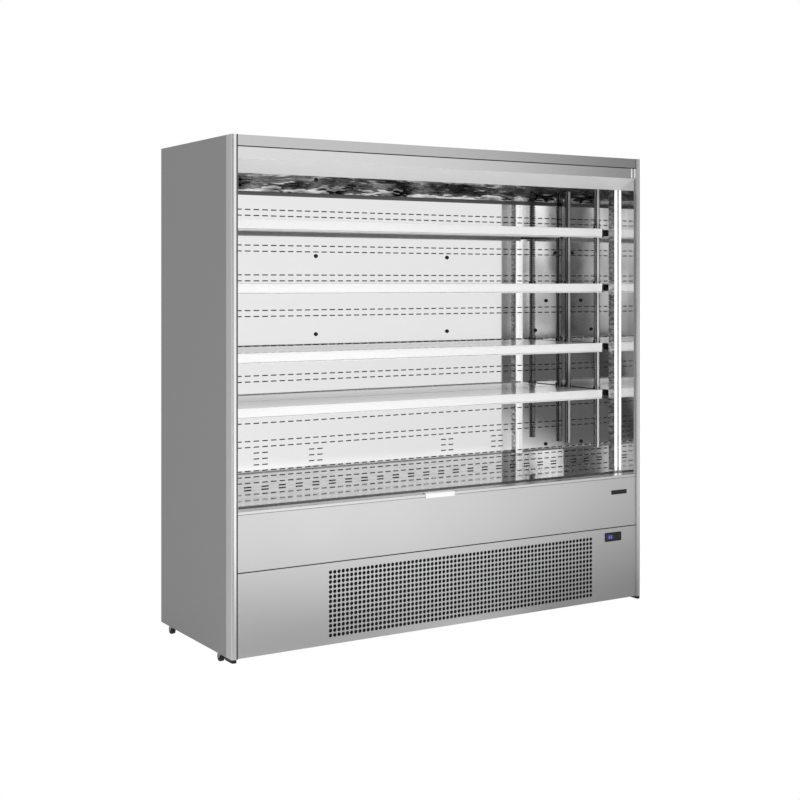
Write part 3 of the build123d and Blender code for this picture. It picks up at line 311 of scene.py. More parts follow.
@dataclass(frozen=True)
class BrushedMetal(Finish):
    """Sheet or profile with a drawn grain along one axis.

    The grain's lines are 30 mm long and 1 mm wide. Real ones are about 0.2 mm wide, and are
    drawn coarser to show.
    """

    way: Way = Way.X
    metallic: float = 1.0
    line: float = 0.03
    cloud: float = 0.5
    line_share: float = 0.6
    contrast: Remap = Remap((0.3, 1.3))

    def pattern(self, surface: Surface) -> None:
        """Adds the grain to soft clouds and raises it by 0.03 mm.

        Args:
            surface: Material under construction.
        """
        grain = surface.noise(self.line, detail=5.0, stretch=self.way.value)
        inputs = {0: grain, 1: self.line_share, 2: surface.noise(self.cloud, detail=2.0)}
        both = add_node(surface.tree, "ShaderNodeMath", {"operation": "MULTIPLY_ADD"}, inputs)
        self.shade(surface, add_node(surface.tree, "ShaderNodeMapRange", None, self.contrast.of(both)))
        surface.bump(grain, strength=0.12, depth=0.00003)


@dataclass(frozen=True)
class MirrorMetal(Finish):
    """Bright annealed sheet: a mirror with slow waves of 0.3 m and faint wiping marks."""

    metallic: float = 1.0
    wipe: float = 0.06
    swell: float = 0.3
    wave: float = 0.0006

    def pattern(self, surface: Surface) -> None:
        """Adds wiping marks and lets the sheet swell.

        Args:
            surface: Material under construction.
        """
        self.shade(surface, surface.noise(self.wipe, detail=6.0, stretch=(1.0, 1.0, 2.2)))
        swelling = surface.noise(self.swell, detail=1.0, stretch=(1.0, 1.0, 0.5))
        surface.bump(swelling, strength=1.0, depth=self.wave)


@dataclass(frozen=True)
class DentedPaintedReflection(Finish):
    """Bright thin sheet with shallow dents; its colour is darkened in patches as painted dark reflections."""

    metallic: float = 1.0
    # Share of the colour taken away in the painted dark reflections.
    tint: float = 0.78
    dent: float = 0.13
    depth: float = 0.003
    contrast: Remap = Remap((0.38, 0.62))

    def pattern(self, surface: Surface) -> None:
        """Darkens the colour in the dents' hollows as painted dark reflections, and presses the dents in.

        Args:
            surface: Material under construction.
        """
        dent_and_painted_reflection = surface.noise(self.dent, detail=2.5, stretch=(1.0, 1.0, 3.0))
        self.shade(surface, add_node(surface.tree, "ShaderNodeMapRange", None, self.contrast.of(dent_and_painted_reflection)))
        surface.bump(dent_and_painted_reflection, strength=1.0, depth=self.depth)


@dataclass(frozen=True)
class Moulded(Finish):
    """Moulded plastic or rubber with a fine grain, drawn at 0.8 mm or more to show."""

    cloud: float = 0.03
    grain: float = 0.0008

    def pattern(self, surface: Surface) -> None:
        """Clouds the colour faintly and raises the grain by 0.05 mm."""
        self.shade(surface, surface.noise(self.cloud, detail=4.0))
        surface.bump(surface.noise(self.grain, detail=2.0), strength=0.3, depth=0.00005)


@dataclass(frozen=True)
class Spangled(Finish):
    """Zinc coat with flowers about 14 mm wide, as on real sheet."""

    metallic: float = 1.0
    flower: float = 1 / 70

    def pattern(self, surface: Surface) -> None:
        """Gives each zinc flower its own grey.

        Args:
            surface: Material under construction.
        """
        inputs = {"Vector": surface.coords, "Scale": 1 / self.flower}
        cells = add_node(surface.tree, "ShaderNodeTexVoronoi", None, inputs)
        grey = add_node(surface.tree, "ShaderNodeSeparateColor", None, {"Color": cells.outputs["Color"]})
        self.shade(surface, grey.outputs["Red"])


@dataclass(frozen=True)
class Foamed(Finish):
    """Cut foam with open pores of 1.1 mm. Real ones are about 0.3 mm, and are drawn coarser to show."""

    cloud: float = 0.02
    pore: float = 1 / 900

    def pattern(self, surface: Surface) -> None:
        """Opens the pores in clouded foam.

        Args:
            surface: Material under construction.
        """
        inputs = {"Vector": surface.coords, "Scale": 1 / self.pore}
        pores = add_node(surface.tree, "ShaderNodeTexVoronoi", None, inputs)
        self.shade(surface, surface.noise(self.cloud, detail=5.0))
        surface.bump(pores.outputs["Distance"], strength=0.6, depth=0.0004)


@dataclass(frozen=True)
class Lit(Finish):
    """Lens or display that glows; a lens has faint ribs across Y."""

    cloud: float = 0.04
    glow: float = 1.0
    rib: float = 0.0

    def pattern(self, surface: Surface) -> None:
        """Sets the glow and raises the ribs by 0.2 mm.

        Args:
            surface: Material under construction.
        """
        self.shade(surface, surface.noise(self.cloud))
        surface.shader.inputs["Emission Color"].default_value = linear(self.colour)
        surface.shader.inputs["Emission Strength"].default_value = self.glow
        if self.rib:
            surface.bump(surface.waves("Y", self.rib), strength=0.4, depth=0.0002)


@dataclass(frozen=True)
class Woven(Finish):
    """Coated cloth with threads 1.2 mm apart. Real ones are about 0.5 mm apart, and are drawn coarser."""

    tint: float = 0.2
    thread: float = 0.0012

    def pattern(self, surface: Surface) -> None:
        """Crosses two sets of threads, 0.2 mm high.

        Args:
            surface: Material under construction.
        """
        threads = {i: surface.waves(axis, self.thread) for i, axis in enumerate("XZ")}
        weave = add_node(surface.tree, "ShaderNodeMath", {"operation": "MULTIPLY"}, threads).outputs[0]
        self.shade(surface, weave)
        surface.bump(weave, strength=0.5, depth=0.0002)


# Powder on the outer sheets: an even, dull mid grey without a mirror image.
SIDE_PAINT = PowderCoat("Powder coated steel, mid grey", "#a9a9a9", 0.5)
# Satin uprights: silver whose highlights stretch along their length.
ALUMINIUM = BrushedMetal("Anodised aluminium, satin", "#d8d8d8", 0.34, way=Way.Z, spread=0.05)
# Rolled front of the uprights and their front faces: the same satin, painted brighter as a highlight where it
# turns to the light.
PAINTED_HIGHLIGHT_ALUMINIUM = BrushedMetal("Anodised aluminium, painted highlight", "#fafafa", 0.3, way=Way.Z)
# Rail at the deck's front: satin, with one soft line of light.
RAIL_ALUMINIUM = BrushedMetal("Anodised aluminium rail, satin", "#e4e4e4", 0.3, way=Way.X)
# Fine brushed band over the opening: reflections that smear across the grain.
FASCIA_STEEL = BrushedMetal("Stainless steel, fine brushed, fascia", "#d0d0d0", 0.22, way=Way.X, tint=0.04)
# The same brush on the canopy's upright face, painted paler as lit, and nearly white towards the light as a
# painted highlight.
TOP_STEEL = BrushedMetal("Stainless steel, fine brushed, cover", "#e8e8e8", 0.22, way=Way.X, tint=0.04)
# Coarser brush on the front panels: a soft grade from side to side, with no picture in it.
PANEL_STEEL = BrushedMetal("Stainless steel, fine brushed", "#dedede", 0.33, way=Way.X, tint=0.04)
# Bright annealed back and sides: a clear, slightly wavy mirror.
MIRROR_STEEL = MirrorMetal("Stainless steel, bright annealed", "#f2f2f2", 0.035, spread=0.015, tint=0.03)
# Folded strips beside the uprights: the same mirror, flat and a little blurred.
STRIP_STEEL = MirrorMetal("Stainless steel, bright folded strip", "#ececec", 0.05, spread=0.02, wave=0.0)
# Thin ceiling sheet: dents break its mirror, and its colour is darkened in patches as painted dark
# reflections.
CEILING_STEEL = DentedPaintedReflection("Stainless steel, thin ceiling sheet", "#f4f4f4", 0.1, spread=0.04)
# Racks: zinc, painted near white as a highlight, with a short soft shine.
RACK_PAINTED_HIGHLIGHT = BrushedMetal("Zinc plated steel rack, painted white highlight", "#ffffff", 0.3, 0.3, way=Way.Z)
# Deck: a flat mirror, darkened and mottled in patches as painted dark reflections.
DECK_STEEL = DentedPaintedReflection(
    "Stainless steel, deck with painted reflections", "#c8c8c8", 0.06, spread=0.03, dent=0.05, depth=0.00006, tint=0.36
)
# Lamp profile: small dents that break up the light beside the lens, and a colour darkened in patches as
# painted dark reflections.
LAMP_STEEL = DentedPaintedReflection(
    "Stainless steel, lamp profile", "#d8d8d8", 0.12, dent=0.03, depth=0.0012, tint=0.6
)
# Polished catch: small sharp highlights.
CLEAR_STEEL = MirrorMetal("Stainless steel, polished trim", "#f0f0f0", 0.14, spread=0.04)
# Powder on the duct liner: plain white with a faint gloss.
WHITE_STEEL = PowderCoat("Powder coated steel, white", "#f4f4f4", 0.36, tint=0.03)
# Shelf tops: hard white that mirrors what stands behind them.
SHELF_ENAMEL = PowderCoat("Baked enamel, white gloss", "#f6f6f6", 0.1, spread=0.03, tint=0.02)
# Shelf undersides: dull dark grey, painted as shade.
SHELF_UNDERSIDE_PAINTED_SHADE = PowderCoat("Shelf underside, painted shade", "#4e4e4e", 0.5)
# Slanted underside of the canopy: painted pale, as the floor's light reflected and spread over it.
CANOPY_UNDERSIDE_PAINTED_LIGHT = PowderCoat("Canopy underside, painted floor light", "#f6f6f6", 0.4, tint=0.02)
# Extruded price rails: clean white with a soft shine.
WHITE_RAIL = Moulded("Price rail plastic, white", "#f8f8f8", 0.32, tint=0.02)
# Black sheet behind the grille's holes: painted shade, with no highlight, so that the holes look deep.
GRILLE_PAINTED_SHADE = Moulded("Grille holes, painted shade, matt black", "#050505", 0.85, grain=0.0015)
# Caps, feet, knobs and housings: near black, with a broad soft shine.
BLACK_PLASTIC = Moulded("Moulded plastic, black", "#161616", 0.42)
# Fans and keys: dark grey, slightly duller than the caps.
FAN_PLASTIC = Moulded("Fan plastic, dark grey", "#2a2a2c", 0.48)
# Castor treads: dull black with a coarser grain.
RUBBER = Moulded("Castor tread rubber, black", "#1b1b1b", 0.62, grain=0.0012)
# Plated fittings: mid grey, lightly flecked.
ZINC = Spangled("Zinc plated steel", "#9b9d9e", 0.34, tint=0.2)
# Hot-dip galvanised sheets: pale grey flowers of uneven gloss.
GALVANISED = Spangled("Galvanised steel sheet", "#b4b7b8", 0.42, tint=0.25, spread=0.1)
# Cut foam: ochre, matt and porous.
FOAM = Foamed("Polyurethane foam, cut", "#d9c27f", 0.85)
# Coil fins: softly bright upright lines.
FINS = BrushedMetal("Aluminium fin stock", "#d5d8d8", 0.4, way=Way.Z)
# Enamel on the compressor and its shroud: black and glossy.
BLACK_PAINT = PowderCoat("Black enamel, compressor", "#111112", 0.3)
# Opal lamp lens: evenly white, with ribs of 19 mm that only its shine shows.
LENS = Lit("Lamp lens, lit opal", "#ffffff", 0.3, glow=0.9, rib=0.0186)
# Smoked window: dark blue gloss, faintly lit from behind.
DISPLAY = Lit("Display window, smoked blue", "#23264a", 0.12, glow=0.5)
# Lit segments: clear light blue.
DIGIT = Lit("Display segment, lit blue", "#7d8fd0", 0.3, glow=0.6)
# Glass-fibre cloth: painted dark grey as shade, matt, with its weave showing from near by.
BLIND = Woven("Blind cloth, darkened as painted shade", "#56585a", 0.6)
# Seals and pull bar: dark grey, so that a seam looks like a gap; on the left profile's seal this dark grey is
# painted shade.
DARK_GAP = Moulded("Seal plastic, dark grey", "#1c1c1d", 0.5)
# Sheet inside the ducts: painted dark as shade, blurred and dull; it also darkens the ceiling's lip and the
# racks' sideways faces.
DARK_PAINTED_SHADE_STEEL = MirrorMetal("Stainless steel, darkened as painted shade", "#6a6a6a", 0.22, spread=0.06)
# Powder on the tank tub: plain mid grey.
TUB_GREY = PowderCoat("Powder coated steel, grey tub", "#868686", 0.45)
# Punched return strip: brushed, and darker than the deck.
PERFORATED = BrushedMetal("Stainless steel, perforated strip", "#8a8a8a", 0.42, way=Way.X)
# Blank cards in the price rails: plain white, duller than the rail.
TICKET = Moulded("Ticket card, white", "#f6f6f6", 0.45, tint=0.02)


# ---- mesh helpers ---------------------------------------------------------------------
def finish_piece(
    bm: Mesh, name: str, finish: Finish, body: str = "cabinet"
) -> bpy.types.Object:
    """Turns a mesh into a piece that rides on a body.

    Args:
        bm: Mesh, which is freed.
        name: Name of the piece.
        finish: Its material.
        body: Body that carries it.

    Returns:
        The object.
    """
    bmesh.ops.recalc_face_normals(bm, faces=bm.faces)
    limit = math.radians(SMOOTH_ANGLE)
    for edge in bm.edges:
        edge.smooth = len(edge.link_faces) == 2 and edge.calc_face_angle(0.0) < limit
    for face in bm.faces:
        face.smooth = True
    mesh = bpy.data.meshes.new(name)
    bm.to_mesh(mesh)
    bm.free()
    mesh.materials.append(finish.material())
    made = put_in_scene(name, mesh)
    made.modifiers.new("normals", "WEIGHTED_NORMAL").keep_sharp = True
    made.data = plain_mesh(made)
    made.modifiers.clear()
    bpy.data.meshes.remove(mesh)
    made.data.name = name
    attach(made, body)
    log.info("piece %s: %s", name, finish.name)
    return made


def plain_mesh(made: bpy.types.Object) -> bpy.types.Mesh:
    """Mesh of an object with its modifiers worked in."""
    bpy.context.view_layer.update()
    return bpy.data.meshes.new_from_object(made.evaluated_get(bpy.context.evaluated_depsgraph_get()))


def body_holding(node: str) -> str:
    """Name of the body that holds a CAD node."""
    groups = frame["record"]["behaviour"]["bodies"]
    return next(body for body, nodes in groups.items() if node in nodes)


def softened(node: str, finish: Finish, edge: Edge = Edge.SHEET, segments: int = 2) -> bpy.types.Object:
    """Stands a copy with rounded edges in for a CAD node.

    Args:
        node: CAD node.
        finish: Its material.
        edge: Width of the rounding.
        segments: Flats of the rounding.

    Returns:
        The piece.
    """
    bm = bmesh.new()
    bm.from_mesh(frame["nodes"][node].data)
    bmesh.ops.remove_doubles(bm, verts=bm.verts, dist=MERGE)
    bmesh.ops.dissolve_limit(bm, angle_limit=math.radians(FLAT_ANGLE), verts=bm.verts, edges=bm.edges)
    bmesh.ops.recalc_face_normals(bm, faces=bm.faces)
    limit = math.radians(SHARP_ANGLE)
    sharp = [e for e in bm.edges if len(e.link_faces) == 2 and e.calc_face_angle(0.0) > limit]
    if edge is not Edge.RAW:
        bmesh.ops.bevel(
            bm, geom=sharp, offset=edge.value, offset_type="OFFSET", segments=segments, profile=0.5,
            affect="EDGES", clamp_overlap=True, loop_slide=True,
        )
    made = finish_piece(bm, f"{node}_skin", finish, body_holding(node))
    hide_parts(node)
    return made


def refinish(made: bpy.types.Object, finish: Finish, chosen: Callable[[Vector], bool]) -> None:
    """Gives some faces of a piece a second finish.

    Args:
        made: The piece.
        finish: The second finish.
        chosen: Test that picks a face by its normal.
    """
    made.data.materials.append(finish.material())
    index = len(made.data.materials) - 1
    for face in made.data.polygons:
        if chosen(face.normal):
            face.material_index = index


def looks_forward(normal: Vector) -> bool:
    """Whether a face looks to the front, or partly so on a rolled edge."""
    return normal.y < -0.3


def looks_back(normal: Vector) -> bool:
    """Whether a face looks mostly to the rear."""
    return normal.y > 0.7


def looks_down(normal: Vector) -> bool:
    """Whether a face looks mostly down."""
    return normal.z < -0.5


def looks_sideways(normal: Vector) -> bool:
    """Whether a face looks to the left or to the right."""
    return abs(normal.x) > 0.7


def prism(bm: Mesh, section: list[Point], low: float, high: float, axis: str = "X") -> None:
    """Runs a closed section along an axis, as a closed solid.

    Args:
        bm: Mesh that gets it.
        section: Points in the two other axes, in order.
        low: Start along the axis.
        high: End along the axis.
        axis: X or Z.
    """
    put = {"X": lambda a, b, t: (t, a, b), "Z": lambda a, b, t: (a, b, t)}[axis]
    first = [bm.verts.new(put(a, b, low)) for a, b in section]
    last = [bm.verts.new(put(a, b, high)) for a, b in section]
    bm.faces.new(first)
    bm.faces.new(list(reversed(last)))
    for i in range(len(section)):
        j = (i + 1) % len(section)
        bm.faces.new((first[j], first[i], last[i], last[j]))


def boxes(
    name: str, finish: Finish, spans: list[tuple[Place, Place]], radius: float, segments: int = 2
) -> None:
    """Makes a fixed piece of boxes with rounded edges.

    Args:
        name: Name of the piece.
        finish: Its material.
        spans: Lowest and highest corner of each box.
        radius: Rounding of their edges.
        segments: Flats of the rounding.
    """
    bm = bmesh.new()
    for low, high in ((Vector(a), Vector(b)) for a, b in spans):
        box = bmesh.new()
        place = Matrix.Translation((low + high) / 2) @ Matrix.Diagonal((*(high - low), 1.0))
        bmesh.ops.create_cube(box, size=1.0, matrix=place)
        bmesh.ops.bevel(
            box, geom=box.edges[:], offset=radius, segments=segments, profile=0.5, affect="EDGES"
        )
        mesh = bpy.data.meshes.new("part")
        box.to_mesh(mesh)
        box.free()
        bm.from_mesh(mesh)
        bpy.data.meshes.remove(mesh)
    finish_piece(bm, name, finish)


def lathe(bm: Mesh, profile: list[Point], place: Matrix, steps: int) -> None:
    """Turns a profile round an axis.

    Args:
        bm: Mesh that gets it.
        profile: Radius and height of each point; a radius of 0 is a tip.
        place: Place whose Z axis it turns round.
        steps: Flats of the turn.
    """
    turn = [i * 2 * math.pi / steps for i in range(steps)]
    rings = []
    for radius, height in profile:
        points = [(radius * math.cos(a), radius * math.sin(a)) for a in turn] if radius else [(0.0, 0.0)]
        rings.append([bm.verts.new(place @ Vector((x, y, height))) for x, y in points])
    for lower, upper in zip(rings, rings[1:]):
        for i in range(steps):
            j = (i + 1) % steps
            loop = [
                lower[i % len(lower)], lower[j % len(lower)], upper[j % len(upper)], upper[i % len(upper)],
            ]
            unique = list(dict.fromkeys(loop))
            if len(unique) > 2:
                bm.faces.new(unique)


# ---- repeated tiles, by geometry nodes ----------------------------------------------------
def tile_field_tree() -> bpy.types.NodeTree:
    """Builds the node tree that lays copies of a tile on a grid and turns the whole into place.

    Returns:
        The tree, made at its first use.
    """
    tree = bpy.data.node_groups.get("tile_field")
    if tree:
        return tree
    tree = bpy.data.node_groups.new("tile_field", "GeometryNodeTree")
    sockets = {
        "Tile": "NodeSocketObject", "Columns": "NodeSocketInt", "Rows": "NodeSocketInt",
        "Pitch X": "NodeSocketFloat", "Pitch Y": "NodeSocketFloat", "Centre": "NodeSocketVector",
        "Turn": "NodeSocketVector", "Finish": "NodeSocketMaterial",
    }
    for name, kind in sockets.items():
        tree.interface.new_socket(name, in_out="INPUT", socket_type=kind)
    tree.interface.new_socket("Geometry", in_out="OUTPUT", socket_type="NodeSocketGeometry")
    given = add_node(tree, "NodeGroupInput").outputs

    def span(count: str, pitch: str) -> bpy.types.Node:
        """Length from the first tile to the last."""
        less = add_node(tree, "ShaderNodeMath", {"operation": "SUBTRACT"}, {0: given[count], 1: 1.0})
        return add_node(tree, "ShaderNodeMath", {"operation": "MULTIPLY"}, {0: less, 1: given[pitch]})

    sizes = {"Size X": span("Columns", "Pitch X"), "Size Y": span("Rows", "Pitch Y")}
    counts = {"Vertices X": given["Columns"], "Vertices Y": given["Rows"]}
    grid = add_node(tree, "GeometryNodeMeshGrid", None, sizes | counts)
    tile = add_node(tree, "GeometryNodeObjectInfo", None, {"Object": given["Tile"]}).outputs["Geometry"]
    laid = add_node(tree, "GeometryNodeInstanceOnPoints", None, {"Points": grid, "Instance": tile})
    real = add_node(tree, "GeometryNodeRealizeInstances", None, {"Geometry": laid})
    place = {"Geometry": real, "Translation": given["Centre"], "Rotation": given["Turn"]}
    turned = add_node(tree, "GeometryNodeTransform", None, place)
    done = add_node(tree, "GeometryNodeSetMaterial", None, {"Geometry": turned, "Material": given["Finish"]})
    add_node(tree, "NodeGroupOutput", None, {"Geometry": done})
    return tree


def lay_tiles(
    bm: Mesh, tile: Mesh, grid: tuple[int, int], pitch: Point, centre: Place, turn: float, finish: Finish
) -> None:
    """Adds a grid of tiles to a mesh, by the node tree above.

    Args:
        bm: Mesh that gets the tiles.
        tile: Tile in the XY plane with its face at Z 0, which is freed.
        grid: Columns and rows.
        pitch: Step in X and Y, in metres.
        centre: Middle of the field.
        turn: Turn of the field about X.
        finish: Its material.
    """
    mesh = bpy.data.meshes.new("tile")
    tile.to_mesh(mesh)
    tile.free()
    sample = put_in_scene("tile", mesh)
    host = put_in_scene("tile_host", bpy.data.meshes.new("tile_host"))
    modifier = host.modifiers.new("tiles", "NODES")
    modifier.node_group = tile_field_tree()
    values = {
        "Tile": sample, "Columns": grid[0], "Rows": grid[1], "Pitch X": pitch[0], "Pitch Y": pitch[1],
        "Centre": centre, "Turn": (turn, 0.0, 0.0), "Finish": finish.material(),
    }
    for socket in modifier.node_group.interface.items_tree:
        if socket.name in values:
            modifier[socket.identifier] = values[socket.name]
    laid = plain_mesh(host)
    bm.from_mesh(laid)
    bpy.data.objects.remove(host)
    bpy.data.objects.remove(sample)
    bpy.data.meshes.remove(laid)


@dataclass(frozen=True)
class Hole:
    """One opening of a punched sheet.

    Args:
        width: Width of the opening.
        height: Height of the opening; the same as the width for a round one.
        corners: Number of corners, 4 for a slot.
    """

    width: float
    height: float
    corners: int = 4

    def tile(self, pitch: Point, thickness: float) -> Mesh:
        """Makes a plate of one pitch by one pitch with the opening in its middle.

        Args:
            pitch: Step of the field along both.
            thickness: Sheet gauge.

        Returns:
            The plate, with its face at Z 0.
        """
        is_slot = self.corners == 4
        inner, rim = [], []
        for i in range(self.corners):
            angle = 2 * math.pi * i / self.corners + (math.pi / 4 if is_slot else 0.0)
            c, s = math.cos(angle), math.sin(angle)
            reach = 1 / max(abs(c), abs(s))
            grow = reach if is_slot else 1.0
            rim.append((c * reach * pitch[0] / 2, s * reach * pitch[1] / 2))
            inner.append((c * grow * self.width / 2, s * grow * self.height / 2))
        bm = bmesh.new()
        rings = []
        for points, z in ((rim, -thickness), (inner, -thickness), (inner, 0.0), (rim, 0.0)):
            rings.append([bm.verts.new((x, y, z)) for x, y in points])
        for a, b in zip(rings, rings[1:]):
            for i in range(self.corners):
                j = (i + 1) % self.corners
                bm.faces.new((a[i], a[j], b[j], b[i]))
        return bm


@dataclass(frozen=True)
class Field:
    """Grid of openings in a punched sheet.

    Args:
        start: First column's and first row's centre.
        grid: Columns and rows.
        pitch: Step along both.
        hole: The opening.
    """

    start: Point
    grid: tuple[int, int]
    pitch: Point
    hole: Hole

    def window(self) -> Window:
        """Low and high along the sheet's width, then along its height."""
        u, v = self.start[0] - self.pitch[0] / 2, self.start[1] - self.pitch[1] / 2
        return (u, u + self.grid[0] * self.pitch[0], v, v + self.grid[1] * self.pitch[1])


@dataclass(frozen=True)
class PunchedSheet:
    """Flat sheet with fields of openings and bare windows.

    Args:
        name: Name of the piece.
        node: CAD node that it stands for.
        finish: Material.
        width: Low and high along X.
        height: Low and high along Z, or along Y where it faces up.
        face: Place of its face along the third axis.
        thickness: Sheet gauge.
        facing: Where the face looks.
        fields: Fields of openings.
        windows: Cut-outs, as low and high along width, then height.
    """

    name: str
    node: str
    finish: Finish
    width: Point
    height: Point
    face: float
    thickness: float
    facing: Facing
    fields: tuple[Field, ...] = ()
    windows: tuple[Window, ...] = ()

    def place(self, u: float, v: float, depth: float) -> Place:
        """Finds a point of the sheet.

        Args:
            u: Place along its width.
            v: Place along its height.
            depth: Distance behind its face.

        Returns:
            X, Y and Z.
        """
        if self.facing is Facing.FRONT:
            return (u, self.face + depth, v)
        return (u, v, self.face - depth)

    def mesh(self) -> Mesh:
        """Builds the bare sheet round the fields, then lays the fields.

        Returns:
            The mesh.
        """
        bm = bmesh.new()
        gaps = [f.window() for f in self.fields] + list(self.windows)
        us = sorted({*self.width, *(g for gap in gaps for g in gap[:2])})
        vs = sorted({*self.height, *(g for gap in gaps for g in gap[2:])})
        points: dict[tuple[int, int, int], bmesh.types.BMVert] = {}

        def vert(i: int, j: int, side: int) -> bmesh.types.BMVert:
            """Point at a crossing of the sheet's lines, made once; side is 0 in front, 1 behind."""
            if (i, j, side) not in points:
                points[i, j, side] = bm.verts.new(self.place(us[i], vs[j], side * self.thickness))
            return points[i, j, side]

        def solid(i: int, j: int) -> bool:
            """Whether the sheet is bare between a crossing and the next."""
            if not (0 <= i < len(us) - 1 and 0 <= j < len(vs) - 1):
                return False
            u, v = (us[i] + us[i + 1]) / 2, (vs[j] + vs[j + 1]) / 2
            return not any(a < u < b and c < v < d for a, b, c, d in gaps)

        for i, j in ((i, j) for i in range(len(us) - 1) for j in range(len(vs) - 1) if solid(i, j)):
            corners = ((i, j), (i + 1, j), (i + 1, j + 1), (i, j + 1))
            for side in (0, 1):
                bm.faces.new([vert(a, b, side) for a, b in corners])
            for k, (di, dj) in enumerate(((0, -1), (1, 0), (0, 1), (-1, 0))):
                if not solid(i + di, j + dj):
                    a, b = corners[k], corners[(k + 1) % 4]
                    bm.faces.new((vert(*a, 0), vert(*b, 0), vert(*b, 1), vert(*a, 1)))
        for part in self.fields:
            low_u, high_u, low_v, high_v = part.window()
            centre = self.place((low_u + high_u) / 2, (low_v + high_v) / 2, 0.0)
            tile = part.hole.tile(part.pitch, self.thickness)
            lay_tiles(bm, tile, part.grid, part.pitch, centre, self.facing.value, self.finish)
        bmesh.ops.remove_doubles(bm, verts=bm.verts, dist=2 * MERGE)
        return bm

    def build(self, extra: Callable[[Mesh], None] | None = None) -> None:
        """Makes the piece.

        Args:
            extra: Adds more to its mesh first.
        """
        bm = self.mesh()
        if extra:
            extra(bm)
        made = finish_piece(bm, self.name, self.finish)
        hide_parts(self.node)


# ---- sub-assemblies -------------------------------------------------------------------
@dataclass
class Shell:
    """Outer sheets, corner profiles and insulation."""

    screw_radius: float = 0.004
    screw_height: float = 0.0012
    screw_sides: int = 10
    screw_pitch: float = 0.2
    screw_inset: float = 0.02
    # Radius and height of the head's outline, as shares of the screw's.
    screw_head: tuple[Point, ...] = ((1.0, 0.0), (0.9, 0.75), (0.4, 1.0), (0.0, 1.0))
    seal_width: float = 0.0055
    seal_recess: float = 0.0015
    seal_proud: float = 0.0003
    seam: float = 0.0042

    def build(self) -> None:
        """Dresses the shell."""
        for side in ("left", "right"):
            softened(f"side_panel_{side}", SIDE_PAINT, Edge.FOLDED)
            profile = softened(f"corner_profile_{side}", ALUMINIUM, Edge.ROLLED, 3)
            # Faces that look forward take the painted highlight.
            refinish(profile, PAINTED_HIGHLIGHT_ALUMINIUM, looks_forward)
        for node, finish, edge in (
            ("side_liners", MIRROR_STEEL, Edge.RAW), ("cabinet_foam", FOAM, Edge.FOLDED),
            ("breaker_strips", STRIP_STEEL, Edge.RAW), ("profile_feet", BLACK_PLASTIC, Edge.FOLDED),
            ("roof_skin", GALVANISED, Edge.FOLDED), ("top_fascia", FASCIA_STEEL, Edge.FOLDED),
            ("rear_skin", GALVANISED, Edge.FOLDED),
        ):
            softened(node, finish, edge)
        self.seals()
        self.rear_screws()

    def seals(self) -> None:
        """The same seal by each profile, painted dark grey by the left as shade and pale aluminium by the
        right as light, and seams between the front sheets.
        """
        strip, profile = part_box("breaker_strips"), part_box("corner_profile_right")
        fascia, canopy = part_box("top_fascia"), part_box("canopy_cover")
        upper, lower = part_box("upper_front_panel"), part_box("lower_front_panel")
        front, back = profile[0].y + self.seal_recess, strip[0].y + self.seal_proud
        inner, outer = profile[0].x - self.seal_width, profile[0].x + self.seal_proud
        bottom, top = profile[0].z, profile[1].z
        # Right profile's seal, painted pale aluminium as light.
        lip = ((inner, front, bottom), (outer, back, top))
        boxes("profile_lip_right", ALUMINIUM, [lip], self.seal_proud)
        # Left profile's seal, painted dark grey as shade.
        seal = ((-outer, front, bottom), (-inner, back, top))
        reach, face = lower[1].x, lower[0].y - self.seal_proud
        seams = [
            ((-reach, face, (low + high - self.seam) / 2), (reach, strip[0].y, (low + high + self.seam) / 2))
            for low, high in ((canopy[1].z, fascia[0].z), (lower[1].z, upper[0].z))
        ]
        boxes("front_seals", DARK_GAP, [seal, *seams], self.seal_proud)

    def rear_screws(self) -> None:
        """Pan-head screws along the rear sheet's upright edges, sunk flush in its face."""
        low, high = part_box("rear_skin")
        bm = bmesh.new()
        count = int((high.z - low.z) // self.screw_pitch)
        head = [(r * self.screw_radius, h * self.screw_height) for r, h in self.screw_head]
        face = Matrix.Rotation(-math.pi / 2, 4, "X")
        for x in (low.x + self.screw_inset, high.x - self.screw_inset):
            for i in range(count):
                z = low.z + (i + 0.5) * (high.z - low.z) / count
                place = Matrix.Translation((x, high.y - self.screw_height, z)) @ face
                lathe(bm, head, place, self.screw_sides)
        finish_piece(bm, "rear_screws", ZINC)


